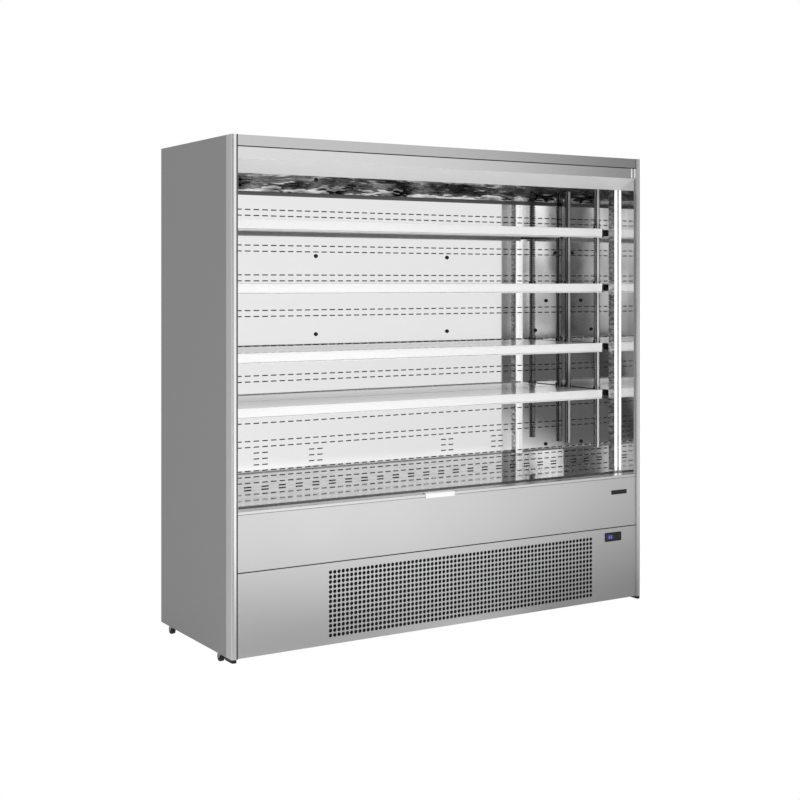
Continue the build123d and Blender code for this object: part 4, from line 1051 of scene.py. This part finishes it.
@dataclass
class Canopy:
    """Cover over the air curtain, its outlet, and the ceiling."""

    return_low: float = 1.7475
    return_sheet: float = 0.0005
    return_drop: float = 0.0016
    return_seat: float = 0.0002
    lip_height: float = 0.016
    lip_proud: float = 0.0015
    cover_face: float = 0.043
    clip_width: float = 0.006
    clip_gap: float = 0.011
    clip_inset: float = 0.001
    clip_rise: float = 0.003
    clip_proud: float = 0.0006
    clip_seat: float = 0.0004
    clip_edge: float = 0.0003

    def build(self) -> None:
        """Dresses the canopy and lays the white end clips on its face."""
        # The cover's face takes the fascia's brushed steel, painted paler as lit.
        cover = softened("canopy_cover", TOP_STEEL)
        # Down-facing faces of the cover are painted pale as the floor's reflected light.
        refinish(cover, CANOPY_UNDERSIDE_PAINTED_LIGHT, looks_down)
        # The duct's front wall is painted dark as shade.
        softened("duct_front_wall", DARK_PAINTED_SHADE_STEEL, Edge.CUT)
        # Ceiling sheet, darkened in patches as painted dark reflections.
        softened("ceiling_panel", CEILING_STEEL, Edge.RAW)
        self.ceiling_return()
        softened("honeycomb_outlet", BLACK_PLASTIC, Edge.RAW)
        self.end_clips()

    def ceiling_return(self) -> None:
        """Thin sheet folded down from the ceiling over the back panel's top, darkened in patches as painted
        dark reflections, with a dull lip painted dark as shade.
        """
        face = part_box("back_panel")[0].y
        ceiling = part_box("ceiling_panel")[1]
        reach, top = ceiling.x - self.return_sheet, ceiling.z - self.return_drop
        seat = face + self.return_seat
        sheet = ((-reach, face - self.return_sheet, self.return_low), (reach, seat, top))
        boxes("ceiling_return", CEILING_STEEL, [sheet], self.return_sheet / 3)
        # A lip below the sheet, painted dark as shade.
        start = (-reach, face - self.lip_proud, self.return_low - self.lip_height)
        lip = (start, (reach, seat, self.return_low + self.return_sheet))
        boxes("ceiling_return_lip", DARK_PAINTED_SHADE_STEEL, [lip], self.return_sheet)

    def end_clips(self) -> None:
        """Two narrow white clips that close the cover's right end."""
        low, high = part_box("canopy_cover")
        front, back = low.y - self.clip_proud, low.y + self.clip_seat
        bottom, top = high.z - self.cover_face + self.clip_rise, high.z - self.clip_inset
        step = self.clip_width + self.clip_gap
        rights = [high.x - self.clip_inset - i * step for i in range(2)]
        clips = [((right - self.clip_width, front, bottom), (right, back, top)) for right in rights]
        boxes("canopy_end_clips", WHITE_RAIL, clips, self.clip_edge)


@dataclass
class NightBlind:
    """Roller, brackets, pull bar and the stretch of cloth between them."""

    rows: int = 96
    cloth: float = 0.0006

    def build(self) -> None:
        """Dresses the blind and builds its cloth as a sheet in rows, loose of any body."""
        # Roller and cloth take the blind's dark grey, painted as shade.
        softened("blind_roller", BLIND, Edge.RAW)
        softened("roller_brackets", ZINC, Edge.THIN)
        softened("blind_bar", DARK_GAP)
        low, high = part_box("blind_cloth")
        middle, half = (low.y + high.y) / 2, self.cloth / 2
        bm = bmesh.new()
        rings = []
        for i in range(self.rows + 1):
            z = low.z + (high.z - low.z) * i / self.rows
            corners = ((low.x, -half), (high.x, -half), (high.x, half), (low.x, half))
            rings.append([bm.verts.new((x, middle + y, z)) for x, y in corners])
        for a, b in zip(rings, rings[1:]):
            for i in range(4):
                bm.faces.new((a[i], a[(i + 1) % 4], b[(i + 1) % 4], b[i]))
        bm.faces.new(rings[0])
        bm.faces.new(rings[-1])
        cloth = finish_piece(bm, "blind_cloth_sheet", BLIND)
        cloth.parent = None
        cloth.matrix_world = Matrix.Identity(4)
        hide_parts("blind_cloth")
        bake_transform(cloth)


@dataclass
class Interior:
    """Back panel with its air slots, deck, return grille and rail."""

    slot: Hole = Hole(0.025, 0.0045)
    slot_pitch: float = 0.0383
    slot_start: float = 0.0649
    slot_columns: int = 48
    row_pitch: float = 0.02357
    first_row: float = 0.0226
    # First row and number of rows of each band of slots, counted up from the deck.
    row_runs: tuple[tuple[int, int], ...] = (
        (0, 3), (6, 2), (10, 2), (17, 2), (22, 2), (28, 2), (34, 2), (39, 2), (45, 2),
    )
    # Short bands above the first one: starts from the left panel, row, columns and rows.
    short_starts: tuple[float, ...] = (0.333, 0.5818, 1.226, 1.491)
    short_row: int = 3
    short_grid: tuple[int, int] = (2, 3)
    low_slot: Hole = Hole(0.032, 0.0055)
    low_rise: float = 0.0059
    low_height: float = 0.0098
    low_columns: int = 23
    strip_hole: Hole = Hole(0.0075, 0.0075, 8)
    strip_pitch: float = 0.011
    strip_margins: Point = (0.02, 0.008)

    def build(self) -> None:
        """Builds the punched sheets and dresses the rest."""
        self.back_panel()
        self.return_strip()
        # Deck mirror, darkened in patches as painted dark reflections.
        softened("deck_panel", DECK_STEEL, Edge.RAW)
        softened("duct_liner", WHITE_STEEL, Edge.RAW)
        softened("panel_knobs", BLACK_PLASTIC, Edge.FOLDED)
        softened("front_rail", RAIL_ALUMINIUM, Edge.FOLDED)
        softened("rail_catch", CLEAR_STEEL, Edge.DRAWN)

    def back_panel(self) -> None:
        """Mirror sheet with rows of slots across the whole width."""
        low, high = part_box("back_panel")
        left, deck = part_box("side_panel_left")[0].x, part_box("deck_panel")[1].z
        pitch = (self.slot_pitch, self.row_pitch)
        runs = [(self.slot_start, first, (self.slot_columns, rows)) for first, rows in self.row_runs]
        runs += [(start, self.short_row, self.short_grid) for start in self.short_starts]
        fields = [
            Field((left + start, deck + self.first_row + first * self.row_pitch), grid, pitch, self.slot)
            for start, first, grid in runs
        ]
        wide = 2 * self.slot_pitch
        start = (left + self.slot_start + wide, deck + self.low_rise)
        fields.append(Field(start, (self.low_columns, 1), (wide, self.low_height), self.low_slot))
        PunchedSheet(
            "back_panel_sheet", "back_panel", MIRROR_STEEL, (low.x, high.x), (low.z, high.z),
            low.y, high.y - low.y, Facing.FRONT, tuple(fields),
        ).build()

    def return_strip(self) -> None:
        """Perforated strip in front of the deck."""
        low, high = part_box("return_grille")
        pitch = self.strip_pitch
        columns = int((high.x - low.x - self.strip_margins[0]) // pitch)
        rows = int((high.y - low.y - self.strip_margins[1]) // pitch)
        start = (-(columns - 1) / 2 * pitch, (low.y + high.y) / 2 - (rows - 1) / 2 * pitch)
        part = Field(start, (columns, rows), (pitch, pitch), self.strip_hole)
        PunchedSheet(
            "return_strip", "return_grille", PERFORATED, (low.x, high.x), (low.y, high.y),
            high.z, high.z - low.z, Facing.UP, (part,),
        ).build()


@dataclass
class Shelving:
    """Shelves, price rails, toothed racks and lamps."""

    shelves: int = 4
    shelf_gap: float = 0.1
    tooth_pitch: float = 0.0105
    tooth_depth: float = 0.006
    # Heights of a tooth's root, tip, tip and root, as shares of the pitch.
    tooth_heights: tuple[float, ...] = (-0.34, -0.3, 0.1, 0.4)
    rack_depth: float = 0.012
    flange: float = 0.0025
    cap_length: float = 0.006
    cap_proud: float = 0.0003
    cap_depth: float = 0.004
    ticket_setback: float = 0.0018
    ticket_drop: float = 0.0335
    ticket_top: float = 0.002
    card: float = 0.0006

    def build(self) -> None:
        """Dresses the shelving and cuts the racks' teeth."""
        for number in range(1, self.shelves + 1):
            shelf = softened(f"shelf_{number}", SHELF_ENAMEL)
            # Down-facing faces are painted dark grey as shade.
            refinish(shelf, SHELF_UNDERSIDE_PAINTED_SHADE, looks_down)
            refinish(shelf, BLACK_PLASTIC, looks_sideways)
        self.price_rails()
        self.tickets()
        self.racks()
        # Lamp profile, darkened in patches as painted dark reflections.
        housing = softened("lamp_housings", LAMP_STEEL, Edge.DRAWN)
        refinish(housing, LENS, looks_back)
        lens = softened("lamp_diffusers", LENS)
        # The lens's sideways faces take the lamp profile's painted dark reflections.
        refinish(lens, LAMP_STEEL, looks_sideways)

    def price_rails(self) -> None:
        """White rails, with black end caps seated over their ends."""
        softened("price_rails", WHITE_RAIL, Edge.THIN)
        low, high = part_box("price_rails")
        front, back, inner = low.y - self.cap_proud, low.y + self.cap_depth, high.x - self.cap_length
        caps = [
            ((left, front, bottom), (right, back, top))
            for bottom, top in self.rail_spans()
            for left, right in ((-high.x, -inner), (inner, high.x))
        ]
        boxes("rail_caps", BLACK_PLASTIC, caps, self.cap_proud)

    def rail_spans(self) -> list[Point]:
        """Reads the price rails' heights from the points of their node.

        Returns:
            Bottom and top of each rail.
        """
        heights = sorted({round(v.co.z, 4) for v in frame["nodes"]["price_rails"].data.vertices})
        cuts = [i for i in range(1, len(heights)) if heights[i] - heights[i - 1] > self.shelf_gap]
        starts, ends = [0, *cuts], [*cuts, len(heights)]
        return [(heights[a], heights[b - 1]) for a, b in zip(starts, ends)]

    def tickets(self) -> None:
        """Blank white card in each price rail, behind its upper lip."""
        low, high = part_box("price_rails")
        reach, front = high.x - self.cap_length, low.y + self.ticket_setback
        cards = [
            ((-reach, front, top - self.ticket_drop), (reach, front + self.card, top - self.ticket_top))
            for _, top in self.rail_spans()
        ]
        boxes("ticket_cards", TICKET, cards, self.card / 3)

    def racks(self) -> None:
        """Toothed strips painted bright as a highlight: a flanged back with teeth laid along it; faces that
        look sideways are painted dark as shade.
        """
        low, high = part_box("shelf_racks")
        bm = bmesh.new()
        rows = int((high.z - low.z) // self.tooth_pitch)
        pitch = (high.z - low.z) / rows
        fronts = sorted({round(v.co.y, 4) for v in frame["nodes"]["shelf_racks"].data.vertices})
        tip = high.x - self.rack_depth
        root, inner = tip + self.tooth_depth, high.x - self.flange
        tooth = [(x, share * pitch) for x, share in zip((root, tip, tip, root), self.tooth_heights)]
        for y_low, y_high in (fronts[:2], fronts[-2:]):
            near, far = y_low + self.flange, y_high - self.flange
            section = [
                (root, y_low), (high.x, y_low), (high.x, y_high), (root, y_high),
                (root, far), (inner, far), (inner, near), (root, near),
            ]
            for side in (1, -1):
                prism(bm, [(side * x, y) for x, y in section], low.z, high.z, "Z")
                for y in (y_low, far):
                    tile = bmesh.new()
                    prism(tile, [(side * x, z) for x, z in tooth], -self.flange, 0.0, "Z")
                    centre = (0.0, y, (low.z + high.z) / 2)
                    lay_tiles(bm, tile, (1, rows), (pitch, pitch), centre, Facing.FRONT.value, RACK_PAINTED_HIGHLIGHT)
        made = finish_piece(bm, "rack_strips", RACK_PAINTED_HIGHLIGHT)
        # Sideways faces, the teeth's tips and the channel's inside, are painted dark as shade.
        refinish(made, DARK_PAINTED_SHADE_STEEL, looks_sideways)
        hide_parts("shelf_racks")


@dataclass
class FrontPanels:
    """Upper panel, and lower panel with its field of round holes and the badge plate."""

    sheet: float = 0.001
    hole: Hole = Hole(0.0142, 0.0142, 16)
    pitch: float = 0.018
    start: Point = (-0.554, 0.079)
    grid: tuple[int, int] = (70, 14)
    # How far the controller's housing laps over its cut-out.
    lap: float = 0.005
    # Place and gauge of the black sheet of painted shade behind the holes.
    shade_sheet_depth: float = 0.0013
    screen: float = 0.0012
    # Left, right, bottom and top of the badge plate.
    badge: Window = (0.800, 0.884, 0.489, 0.507)
    badge_sink: float = 0.0015
    badge_proud: float = 0.0003
    badge_edge: float = 0.0006

    def build(self) -> None:
        """Builds both panels, the black sheet of painted shade behind the grille and the bare badge plate."""
        softened("upper_front_panel", PANEL_STEEL, Edge.FOLDED)
        low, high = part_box("lower_front_panel")
        house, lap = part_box("controller_housing"), self.lap
        cut = (house[0].x + lap, house[1].x - lap, house[0].z + lap, house[1].z - lap)
        part = Field(self.start, self.grid, (self.pitch, self.pitch), self.hole)
        inside = low.y + self.sheet

        def returns(bm: Mesh) -> None:
            """Adds the sheet's folds along its bottom and its top."""
            for z_low, z_high in ((low.z, low.z + self.sheet), (high.z - self.sheet, high.z)):
                section = [(inside, z_low), (high.y, z_low), (high.y, z_high), (inside, z_high)]
                prism(bm, section, low.x, high.x)

        PunchedSheet(
            "lower_panel_sheet", "lower_front_panel", PANEL_STEEL, (low.x, high.x), (low.z, high.z),
            low.y, self.sheet, Facing.FRONT, (part,), (cut,),
        ).build(returns)
        # Black sheet of painted shade behind the holes.
        self.backing(part.window(), low.y + self.shade_sheet_depth)
        self.badge_plate()

    def backing(self, window: Window, front: float) -> None:
        """Black sheet on the inside of the lower panel, behind its holes, painted as the shade inside them.

        Args:
            window: Left, right, bottom and top of the holes.
            front: Place of its front along Y.
        """
        left, right, bottom, top = window
        span = ((left, front, bottom), (right, front + self.screen, top))
        boxes("grille_screen", GRILLE_PAINTED_SHADE, [span], self.screen / 3)

    def badge_plate(self) -> None:
        """Bare plate sunk in the upper panel."""
        left, right, bottom, top = self.badge
        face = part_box("upper_front_panel")[0].y
        span = ((left, face - self.badge_sink, bottom), (right, face + self.badge_proud, top))
        boxes("badge_plate", BLACK_PLASTIC, [span], self.badge_edge)


@dataclass
class Controller:
    """Bezel, display with two figures, and three keys."""

    keys: int = 3
    figure_height: float = 0.011
    figure_width: float = 0.006
    figure_pitch: float = 0.012
    stroke: float = 0.0013
    half_depth: float = 0.0002
    figure_edge: float = 0.0001

    def build(self) -> None:
        """Dresses the controller and lights its figures."""
        softened("controller_housing", BLACK_PLASTIC)
        softened("controller_display", DISPLAY, Edge.RAW)
        for number in range(1, self.keys + 1):
            softened(f"controller_button_{number}", FAN_PLASTIC, Edge.THIN)
        self.figures()

    def figures(self) -> None:
        """Two figures of seven bars, half sunk in the display."""
        low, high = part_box("controller_display")
        middle = (low + high) / 2
        w, h, s = self.figure_width / 2, self.figure_height / 2, self.stroke / 2
        bars = {
            "top": (-w, w, h - s, h + s), "middle": (-w, w, -s, s), "bottom": (-w, w, -h - s, -h + s),
            "upper_left": (-w - s, -w + s, 0, h), "upper_right": (w - s, w + s, 0, h),
            "lower_left": (-w - s, -w + s, -h, 0), "lower_right": (w - s, w + s, -h, 0),
        }
        shown = (("top", "upper_right", "middle", "lower_right", "bottom"), tuple(bars))
        front, back = low.y - self.half_depth, low.y + self.half_depth
        spans = []
        for index, names in enumerate(shown):
            centre = middle.x + (index - 0.5) * self.figure_pitch
            for left, right, bottom, top in (bars[name] for name in names):
                start = (centre + left, front, middle.z + bottom)
                spans.append((start, (centre + right, back, middle.z + top)))
        boxes("display_figures", DIGIT, spans, self.figure_edge, 1)


@dataclass
class Machinery:
    """Cold tank, fans and condensing unit behind the panels."""

    def build(self) -> None:
        """Dresses the machinery."""
        for node, finish in (
            ("tank_tub", TUB_GREY), ("fan_plate", GALVANISED), ("tank_fan_1", FAN_PLASTIC),
            ("tank_fan_2", FAN_PLASTIC), ("condenser_fan", FAN_PLASTIC), ("evaporator_coil", FINS),
            ("base_pan", GALVANISED), ("condenser_coil", FINS), ("condenser_shroud", BLACK_PAINT),
            ("compressor", BLACK_PAINT),
        ):
            softened(node, finish, Edge.THIN)


@dataclass
class Castors:
    """Four small swivel castors."""

    places: tuple[str, ...] = ("front_left", "front_right", "rear_left", "rear_right")
    wheel_sides: int = 48
    bore: float = 0.0031
    hub: float = 0.0075
    dish: float = 0.0012
    rim: float = 0.0025
    rivet: float = 0.0036
    rivet_sides: int = 16
    # Outline of its head: share of the radius, and height over the cheek in metres.
    rivet_head: tuple[Point, ...] = ((1.0, -0.0003), (1.0, 0.0002), (0.7, 0.0008), (0.0, 0.001))

    def build(self) -> None:
        """Dresses plates and forks, and turns the wheels."""
        softened("castor_plates", ZINC)
        for place in self.places:
            softened(f"castor_fork_{place}", ZINC)
            self.wheel(f"castor_wheel_{place}")
            self.rivets(place)

    def wheel(self, node: str) -> None:
        """Turns a wheel with rounded rims and dished sides.

        Args:
            node: CAD node of the wheel.
        """
        low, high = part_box(node)
        half, radius, edge = (high.x - low.x) / 2, (high.z - low.z) / 2, self.dish
        side = [
            (radius, half - edge), (radius - edge / 3, half - edge / 3), (radius - edge, half),
            (radius - self.rim, half), (radius - self.rim - edge, half - edge),
            (self.hub + edge, half - edge), (self.hub, half), (self.bore, half),
        ]
        profile = [(r, -h) for r, h in reversed(side)] + side + [(self.bore, -half)]
        bm = bmesh.new()
        place = Matrix.Translation((low + high) / 2) @ Matrix.Rotation(math.pi / 2, 4, "Y")
        lathe(bm, profile, place, self.wheel_sides)
        bmesh.ops.remove_doubles(bm, verts=bm.verts, dist=MERGE)
        made = finish_piece(bm, f"{node}_turned", RUBBER, body_holding(node))
        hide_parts(node)

    def rivets(self, place: str) -> None:
        """Seats domed rivet heads in the fork's cheeks, on the axle's ends.

        Args:
            place: Corner of the cabinet that the castor stands under.
        """
        wheel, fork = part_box(f"castor_wheel_{place}"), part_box(f"castor_fork_{place}")
        middle = (wheel[0] + wheel[1]) / 2
        head = [(share * self.rivet, height) for share, height in self.rivet_head]
        bm = bmesh.new()
        for x, turn in ((fork[1].x, math.pi / 2), (fork[0].x, -math.pi / 2)):
            seat = Matrix.Translation((x, middle.y, middle.z)) @ Matrix.Rotation(turn, 4, "Y")
            lathe(bm, head, seat, self.rivet_sides)
        body = body_holding(f"castor_fork_{place}")
        finish_piece(bm, f"axle_rivets_{place}", ZINC, body)


@dataclass
class Studio:
    """Floor, light, world and camera.

    The camera sees the floor and the world plain white. The stops below are the tones that
    they show in the steel: position along a ramp, and colour.
    """

    camera_place: Place = (-3.0239, -4.7721, 1.3864)
    camera_turn: float = -31.92
    lens: float = 61.82
    sensor: float = 36.0
    shift: float = -0.1472
    # World, from its left (0) to its right (1).
    stops: Stops = (
        (0.0, "#a8a8a8"), (0.10, "#8c8c8c"), (0.30, "#7c7c7c"), (0.42, "#d8d8d8"), (0.60, "#ffffff"),
        (0.74, "#f8f8f8"), (0.795, "#f4f4f4"), (0.812, "#a8a8a8"), (0.832, "#5c5c5c"), (1.0, "#707070"),
    )
    sky: float = 0.98
    # Screens at the world's left, which the right side wall mirrors, with their own stops.
    screens: Point = (-0.67, -0.585)
    screen_stops: Stops = (
        (0.0, "#a8a8a8"), (0.30, "#a8a8a8"), (0.36, "#9c9c9c"), (0.39, "#4c4c4c"), (0.60, "#444444"),
        (0.64, "#c8c8c8"), (0.74, "#e4e4e4"), (0.77, "#707070"), (0.81, "#666666"), (0.83, "#e8e8e8"),
        (0.86, "#c0c0c0"), (0.88, "#787878"), (1.0, "#707070"),
    )
    # The screens are mottled in small patches, and brighten from the horizon up.
    patch_scale: Place = (150.0, 150.0, 60.0)
    patches: Remap = Remap((0.35, 0.65), (0.55, 1.3))
    rise: Remap = Remap((-0.1, 0.06), (0.25, 2.1))
    # World behind the object.
    back_tone: str = "#cdcdcd"
    # Floor, by its slope X over distance ahead, from left to right.
    floor_slopes: Remap = Remap((-1.4, 1.2))
    floor_stops: Stops = (
        (0.0, "#e8e8e8"), (0.10, "#b0b0b0"), (0.15, "#808080"), (0.214, "#909090"), (0.219, "#444444"),
        (0.234, "#444444"), (0.238, "#606060"), (0.30, "#686868"), (0.34, "#e4e4e4"), (0.57, "#ffffff"),
        (0.73, "#f4f4f4"), (0.86, "#ececec"), (0.92, "#c8c8c8"), (1.0, "#b4b4b4"),
    )
    floor_glow: float = 1.4
    # Floor, by its distance ahead of the object.
    floor_reach: Remap = Remap((0.0, 8.0))
    floor_tones: Stops = (
        (0.04, "#c4c4c4"), (0.07, "#a8a8a8"), (0.16, "#bababa"), (0.30, "#ffffff"), (0.44, "#ffffff"),
        (0.56, "#dcdcdc"), (1.0, "#dcdcdc"),
    )
    floor_nearest: float = 0.3
    # Least slope by distance ahead: near the object the floor has no dark left side.
    floor_least: Remap = Remap((1.2, 2.2), (-0.45, -3.0))
    # Behind this Y the floor has the tone of the ramp's left end.
    floor_behind: float = 0.33
    floor_far_left: float = -100.0
    floor_size: float = 24.0
    floor_colour: str = "#e0e0e0"
    aim: Place = (0.0, 0.0, 1.0)
    softbox: Place = (-0.6, -3.0, 4.2)
    softbox_size: Point = (3.0, 2.2)
    softbox_power: float = 50.0
    card: Place = (-1.0, -2.6, 0.25)
    card_size: Point = (1.2, 0.4)
    card_power: float = 26.0

    def build(self) -> None:
        """Builds the studio."""
        self.floor()
        self.world()
        self.light("overhead_softbox", self.softbox, self.softbox_size, self.softbox_power)
        self.light("low_bounce_card", self.card, self.card_size, self.card_power)
        self.camera()

    def ramp(self, tree: bpy.types.NodeTree, factor: Socket | bpy.types.Node, stops: Stops) -> Socket:
        """Adds a colour ramp.

        Args:
            tree: Node tree that gets it.
            factor: Place along the ramp, from 0 to 1.
            stops: Positions and hex colours.

        Returns:
            The colour.
        """
        ramp = add_node(tree, "ShaderNodeValToRGB", None, {"Fac": factor})
        elements = ramp.color_ramp.elements
        elements.remove(elements[1])
        elements[0].position, elements[0].color = stops[0][0], linear(stops[0][1])
        for position, colour in stops[1:]:
            elements.new(position).color = linear(colour)
        return ramp.outputs["Color"]

    def floor(self) -> None:
        """Pale floor, white to the camera and toned by place in mirrors."""
        bm = bmesh.new()
        bmesh.ops.create_grid(bm, x_segments=1, y_segments=1, size=self.floor_size)
        mesh = bpy.data.meshes.new("floor")
        bm.to_mesh(mesh)
        bm.free()
        material = bpy.data.materials.new("Studio floor, pale")
        tree = empty_tree(material)
        path = add_node(tree, "ShaderNodeLightPath").outputs
        matt = add_node(tree, "ShaderNodeBsdfDiffuse", None, {"Color": linear(self.floor_colour)})
        white = add_node(tree, "ShaderNodeEmission", None, {"Color": WHITE, "Strength": 1.0})
        mirrored = add_node(tree, "ShaderNodeEmission", None, self.floor_light(tree))
        rest = add_node(tree, "ShaderNodeMixShader", None, {0: path["Is Glossy Ray"], 1: matt, 2: mirrored})
        mix = add_node(tree, "ShaderNodeMixShader", None, {0: path["Is Camera Ray"], 1: rest, 2: white})
        add_node(tree, "ShaderNodeOutputMaterial", None, {"Surface": mix})
        mesh.materials.append(material)
        put_in_scene("floor", mesh)

    def floor_light(self, tree: bpy.types.NodeTree) -> dict:
        """Works out what mirrors see of the floor.

        Args:
            tree: Node tree of the floor.

        Returns:
            Colour and strength of its light.
        """
        place = add_node(tree, "ShaderNodeTexCoord").outputs["Object"]
        part = add_node(tree, "ShaderNodeSeparateXYZ", None, {"Vector": place}).outputs
        ahead = add_node(tree, "ShaderNodeMath", {"operation": "MULTIPLY"}, {0: part["Y"], 1: -1.0})
        clear = add_node(tree, "ShaderNodeMath", {"operation": "MAXIMUM"}, {0: ahead, 1: self.floor_nearest})
        slope = add_node(tree, "ShaderNodeMath", {"operation": "DIVIDE"}, {0: part["X"], 1: clear})
        least = add_node(tree, "ShaderNodeMapRange", None, self.floor_least.of(clear))
        held = add_node(tree, "ShaderNodeMath", {"operation": "MAXIMUM"}, {0: slope, 1: least})
        behind = {0: part["Y"], 1: self.floor_behind}
        back = add_node(tree, "ShaderNodeMath", {"operation": "GREATER_THAN"}, behind)
        moved = {0: back, 1: self.floor_far_left, 2: held}
        turned = add_node(tree, "ShaderNodeMath", {"operation": "MULTIPLY_ADD"}, moved)
        level = add_node(tree, "ShaderNodeMapRange", None, self.floor_slopes.of(turned))
        reach = add_node(tree, "ShaderNodeMapRange", None, self.floor_reach.of(clear))
        tone = self.ramp(tree, reach, self.floor_tones)
        near = add_node(tree, "ShaderNodeMath", {"operation": "MULTIPLY"}, {0: tone, 1: self.floor_glow})
        return {"Color": self.ramp(tree, level, self.floor_stops), "Strength": near}

    def world(self) -> None:
        """World: plain white to the camera, and toned by direction for the rest."""
        world = bpy.data.worlds.new("studio")
        bpy.context.scene.world = world
        tree = empty_tree(world)
        seen = add_node(tree, "ShaderNodeLightPath").outputs["Is Camera Ray"]
        toned = {"Color": self.sky_tone(tree), "Strength": self.sky}
        room = add_node(tree, "ShaderNodeBackground", None, toned)
        plain = add_node(tree, "ShaderNodeBackground", None, {"Color": WHITE, "Strength": 1.0})
        mix = add_node(tree, "ShaderNodeMixShader", None, {0: seen, 1: room, 2: plain})
        add_node(tree, "ShaderNodeOutputWorld", None, {"Surface": mix})

    def sky_tone(self, tree: bpy.types.NodeTree) -> Socket:
        """Works out the world's tones: bright ahead and to the right, dark to the left.

        Args:
            tree: Node tree of the world.

        Returns:
            The colour.
        """
        way = add_node(tree, "ShaderNodeTexCoord").outputs["Generated"]
        part = add_node(tree, "ShaderNodeSeparateXYZ", None, {"Vector": way}).outputs
        level = add_node(tree, "ShaderNodeMapRange", None, Remap((-1.0, 1.0)).of(part["X"]))
        broad = self.ramp(tree, level, self.stops)
        fine = add_node(tree, "ShaderNodeMapRange", None, Remap(self.screens).of(part["X"]))
        streaks = self.ramp(tree, fine, self.screen_stops)
        placed = add_node(tree, "ShaderNodeMapping", None, {"Vector": way, "Scale": self.patch_scale})
        cloud = add_node(tree, "ShaderNodeTexNoise", None, {"Vector": placed, "Scale": 1.0, "Detail": 3.0})
        patch = add_node(tree, "ShaderNodeMapRange", None, self.patches.of(cloud))
        rise = add_node(tree, "ShaderNodeMapRange", None, self.rise.of(part["Z"]))
        lit = add_node(tree, "ShaderNodeMath", {"operation": "MULTIPLY"}, {0: patch, 1: rise})
        blend = {"data_type": "RGBA", "blend_type": "MULTIPLY"}
        mottled = add_node(tree, "ShaderNodeMix", blend, {"Factor": 1.0, 6: streaks, 7: lit}).outputs[2]
        low, high = self.screens
        above = add_node(tree, "ShaderNodeMath", {"operation": "GREATER_THAN"}, {0: part["X"], 1: low})
        below = add_node(tree, "ShaderNodeMath", {"operation": "LESS_THAN"}, {0: part["X"], 1: high})
        inside = add_node(tree, "ShaderNodeMath", {"operation": "MULTIPLY"}, {0: above, 1: below})
        choice = {"Factor": inside, 6: broad, 7: mottled}
        front = add_node(tree, "ShaderNodeMix", {"data_type": "RGBA"}, choice).outputs[2]
        behind = add_node(tree, "ShaderNodeMath", {"operation": "GREATER_THAN"}, {0: part["Y"], 1: 0.0})
        choice = {"Factor": behind, 6: front, 7: linear(self.back_tone)}
        return add_node(tree, "ShaderNodeMix", {"data_type": "RGBA"}, choice).outputs[2]

    def light(self, name: str, place: Place, size: Point, power: float) -> None:
        """Adds a soft lamp that looks at the object.

        Args:
            name: Name of the lamp.
            place: Where it hangs or stands.
            size: Its width and height.
            power: Its watts.
        """
        lamp = bpy.data.lights.new(name, "AREA")
        lamp.shape = "RECTANGLE"
        lamp.size, lamp.size_y = size
        lamp.energy = power
        made = put_in_scene(name, lamp)
        made.location = place
        made.visible_glossy = False
        made.rotation_euler = (Vector(self.aim) - Vector(place)).to_track_quat("-Z", "Y").to_euler()

    def camera(self) -> None:
        """Puts the camera where the photograph was taken from."""
        data = bpy.data.cameras.new("camera")
        data.lens, data.sensor_width, data.shift_y = self.lens, self.sensor, self.shift
        made = put_in_scene("camera", data)
        made.location = self.camera_place
        made.rotation_euler = (math.pi / 2, 0.0, math.radians(self.camera_turn))
        bpy.context.scene.camera = made


def main() -> None:
    """Builds every sub-assembly and the studio, in order."""
    logging.basicConfig(level=logging.INFO, format="%(name)s: %(message)s")
    bpy.context.scene.view_settings.view_transform = "Standard"
    parts = (
        Shell(), Canopy(), NightBlind(), Interior(), Shelving(), FrontPanels(), Controller(),
        Machinery(), Castors(), Studio(),
    )
    for part in parts:
        part.build()
        log.info("%s built", type(part).__name__)


if __name__ == "__main__":
    main()
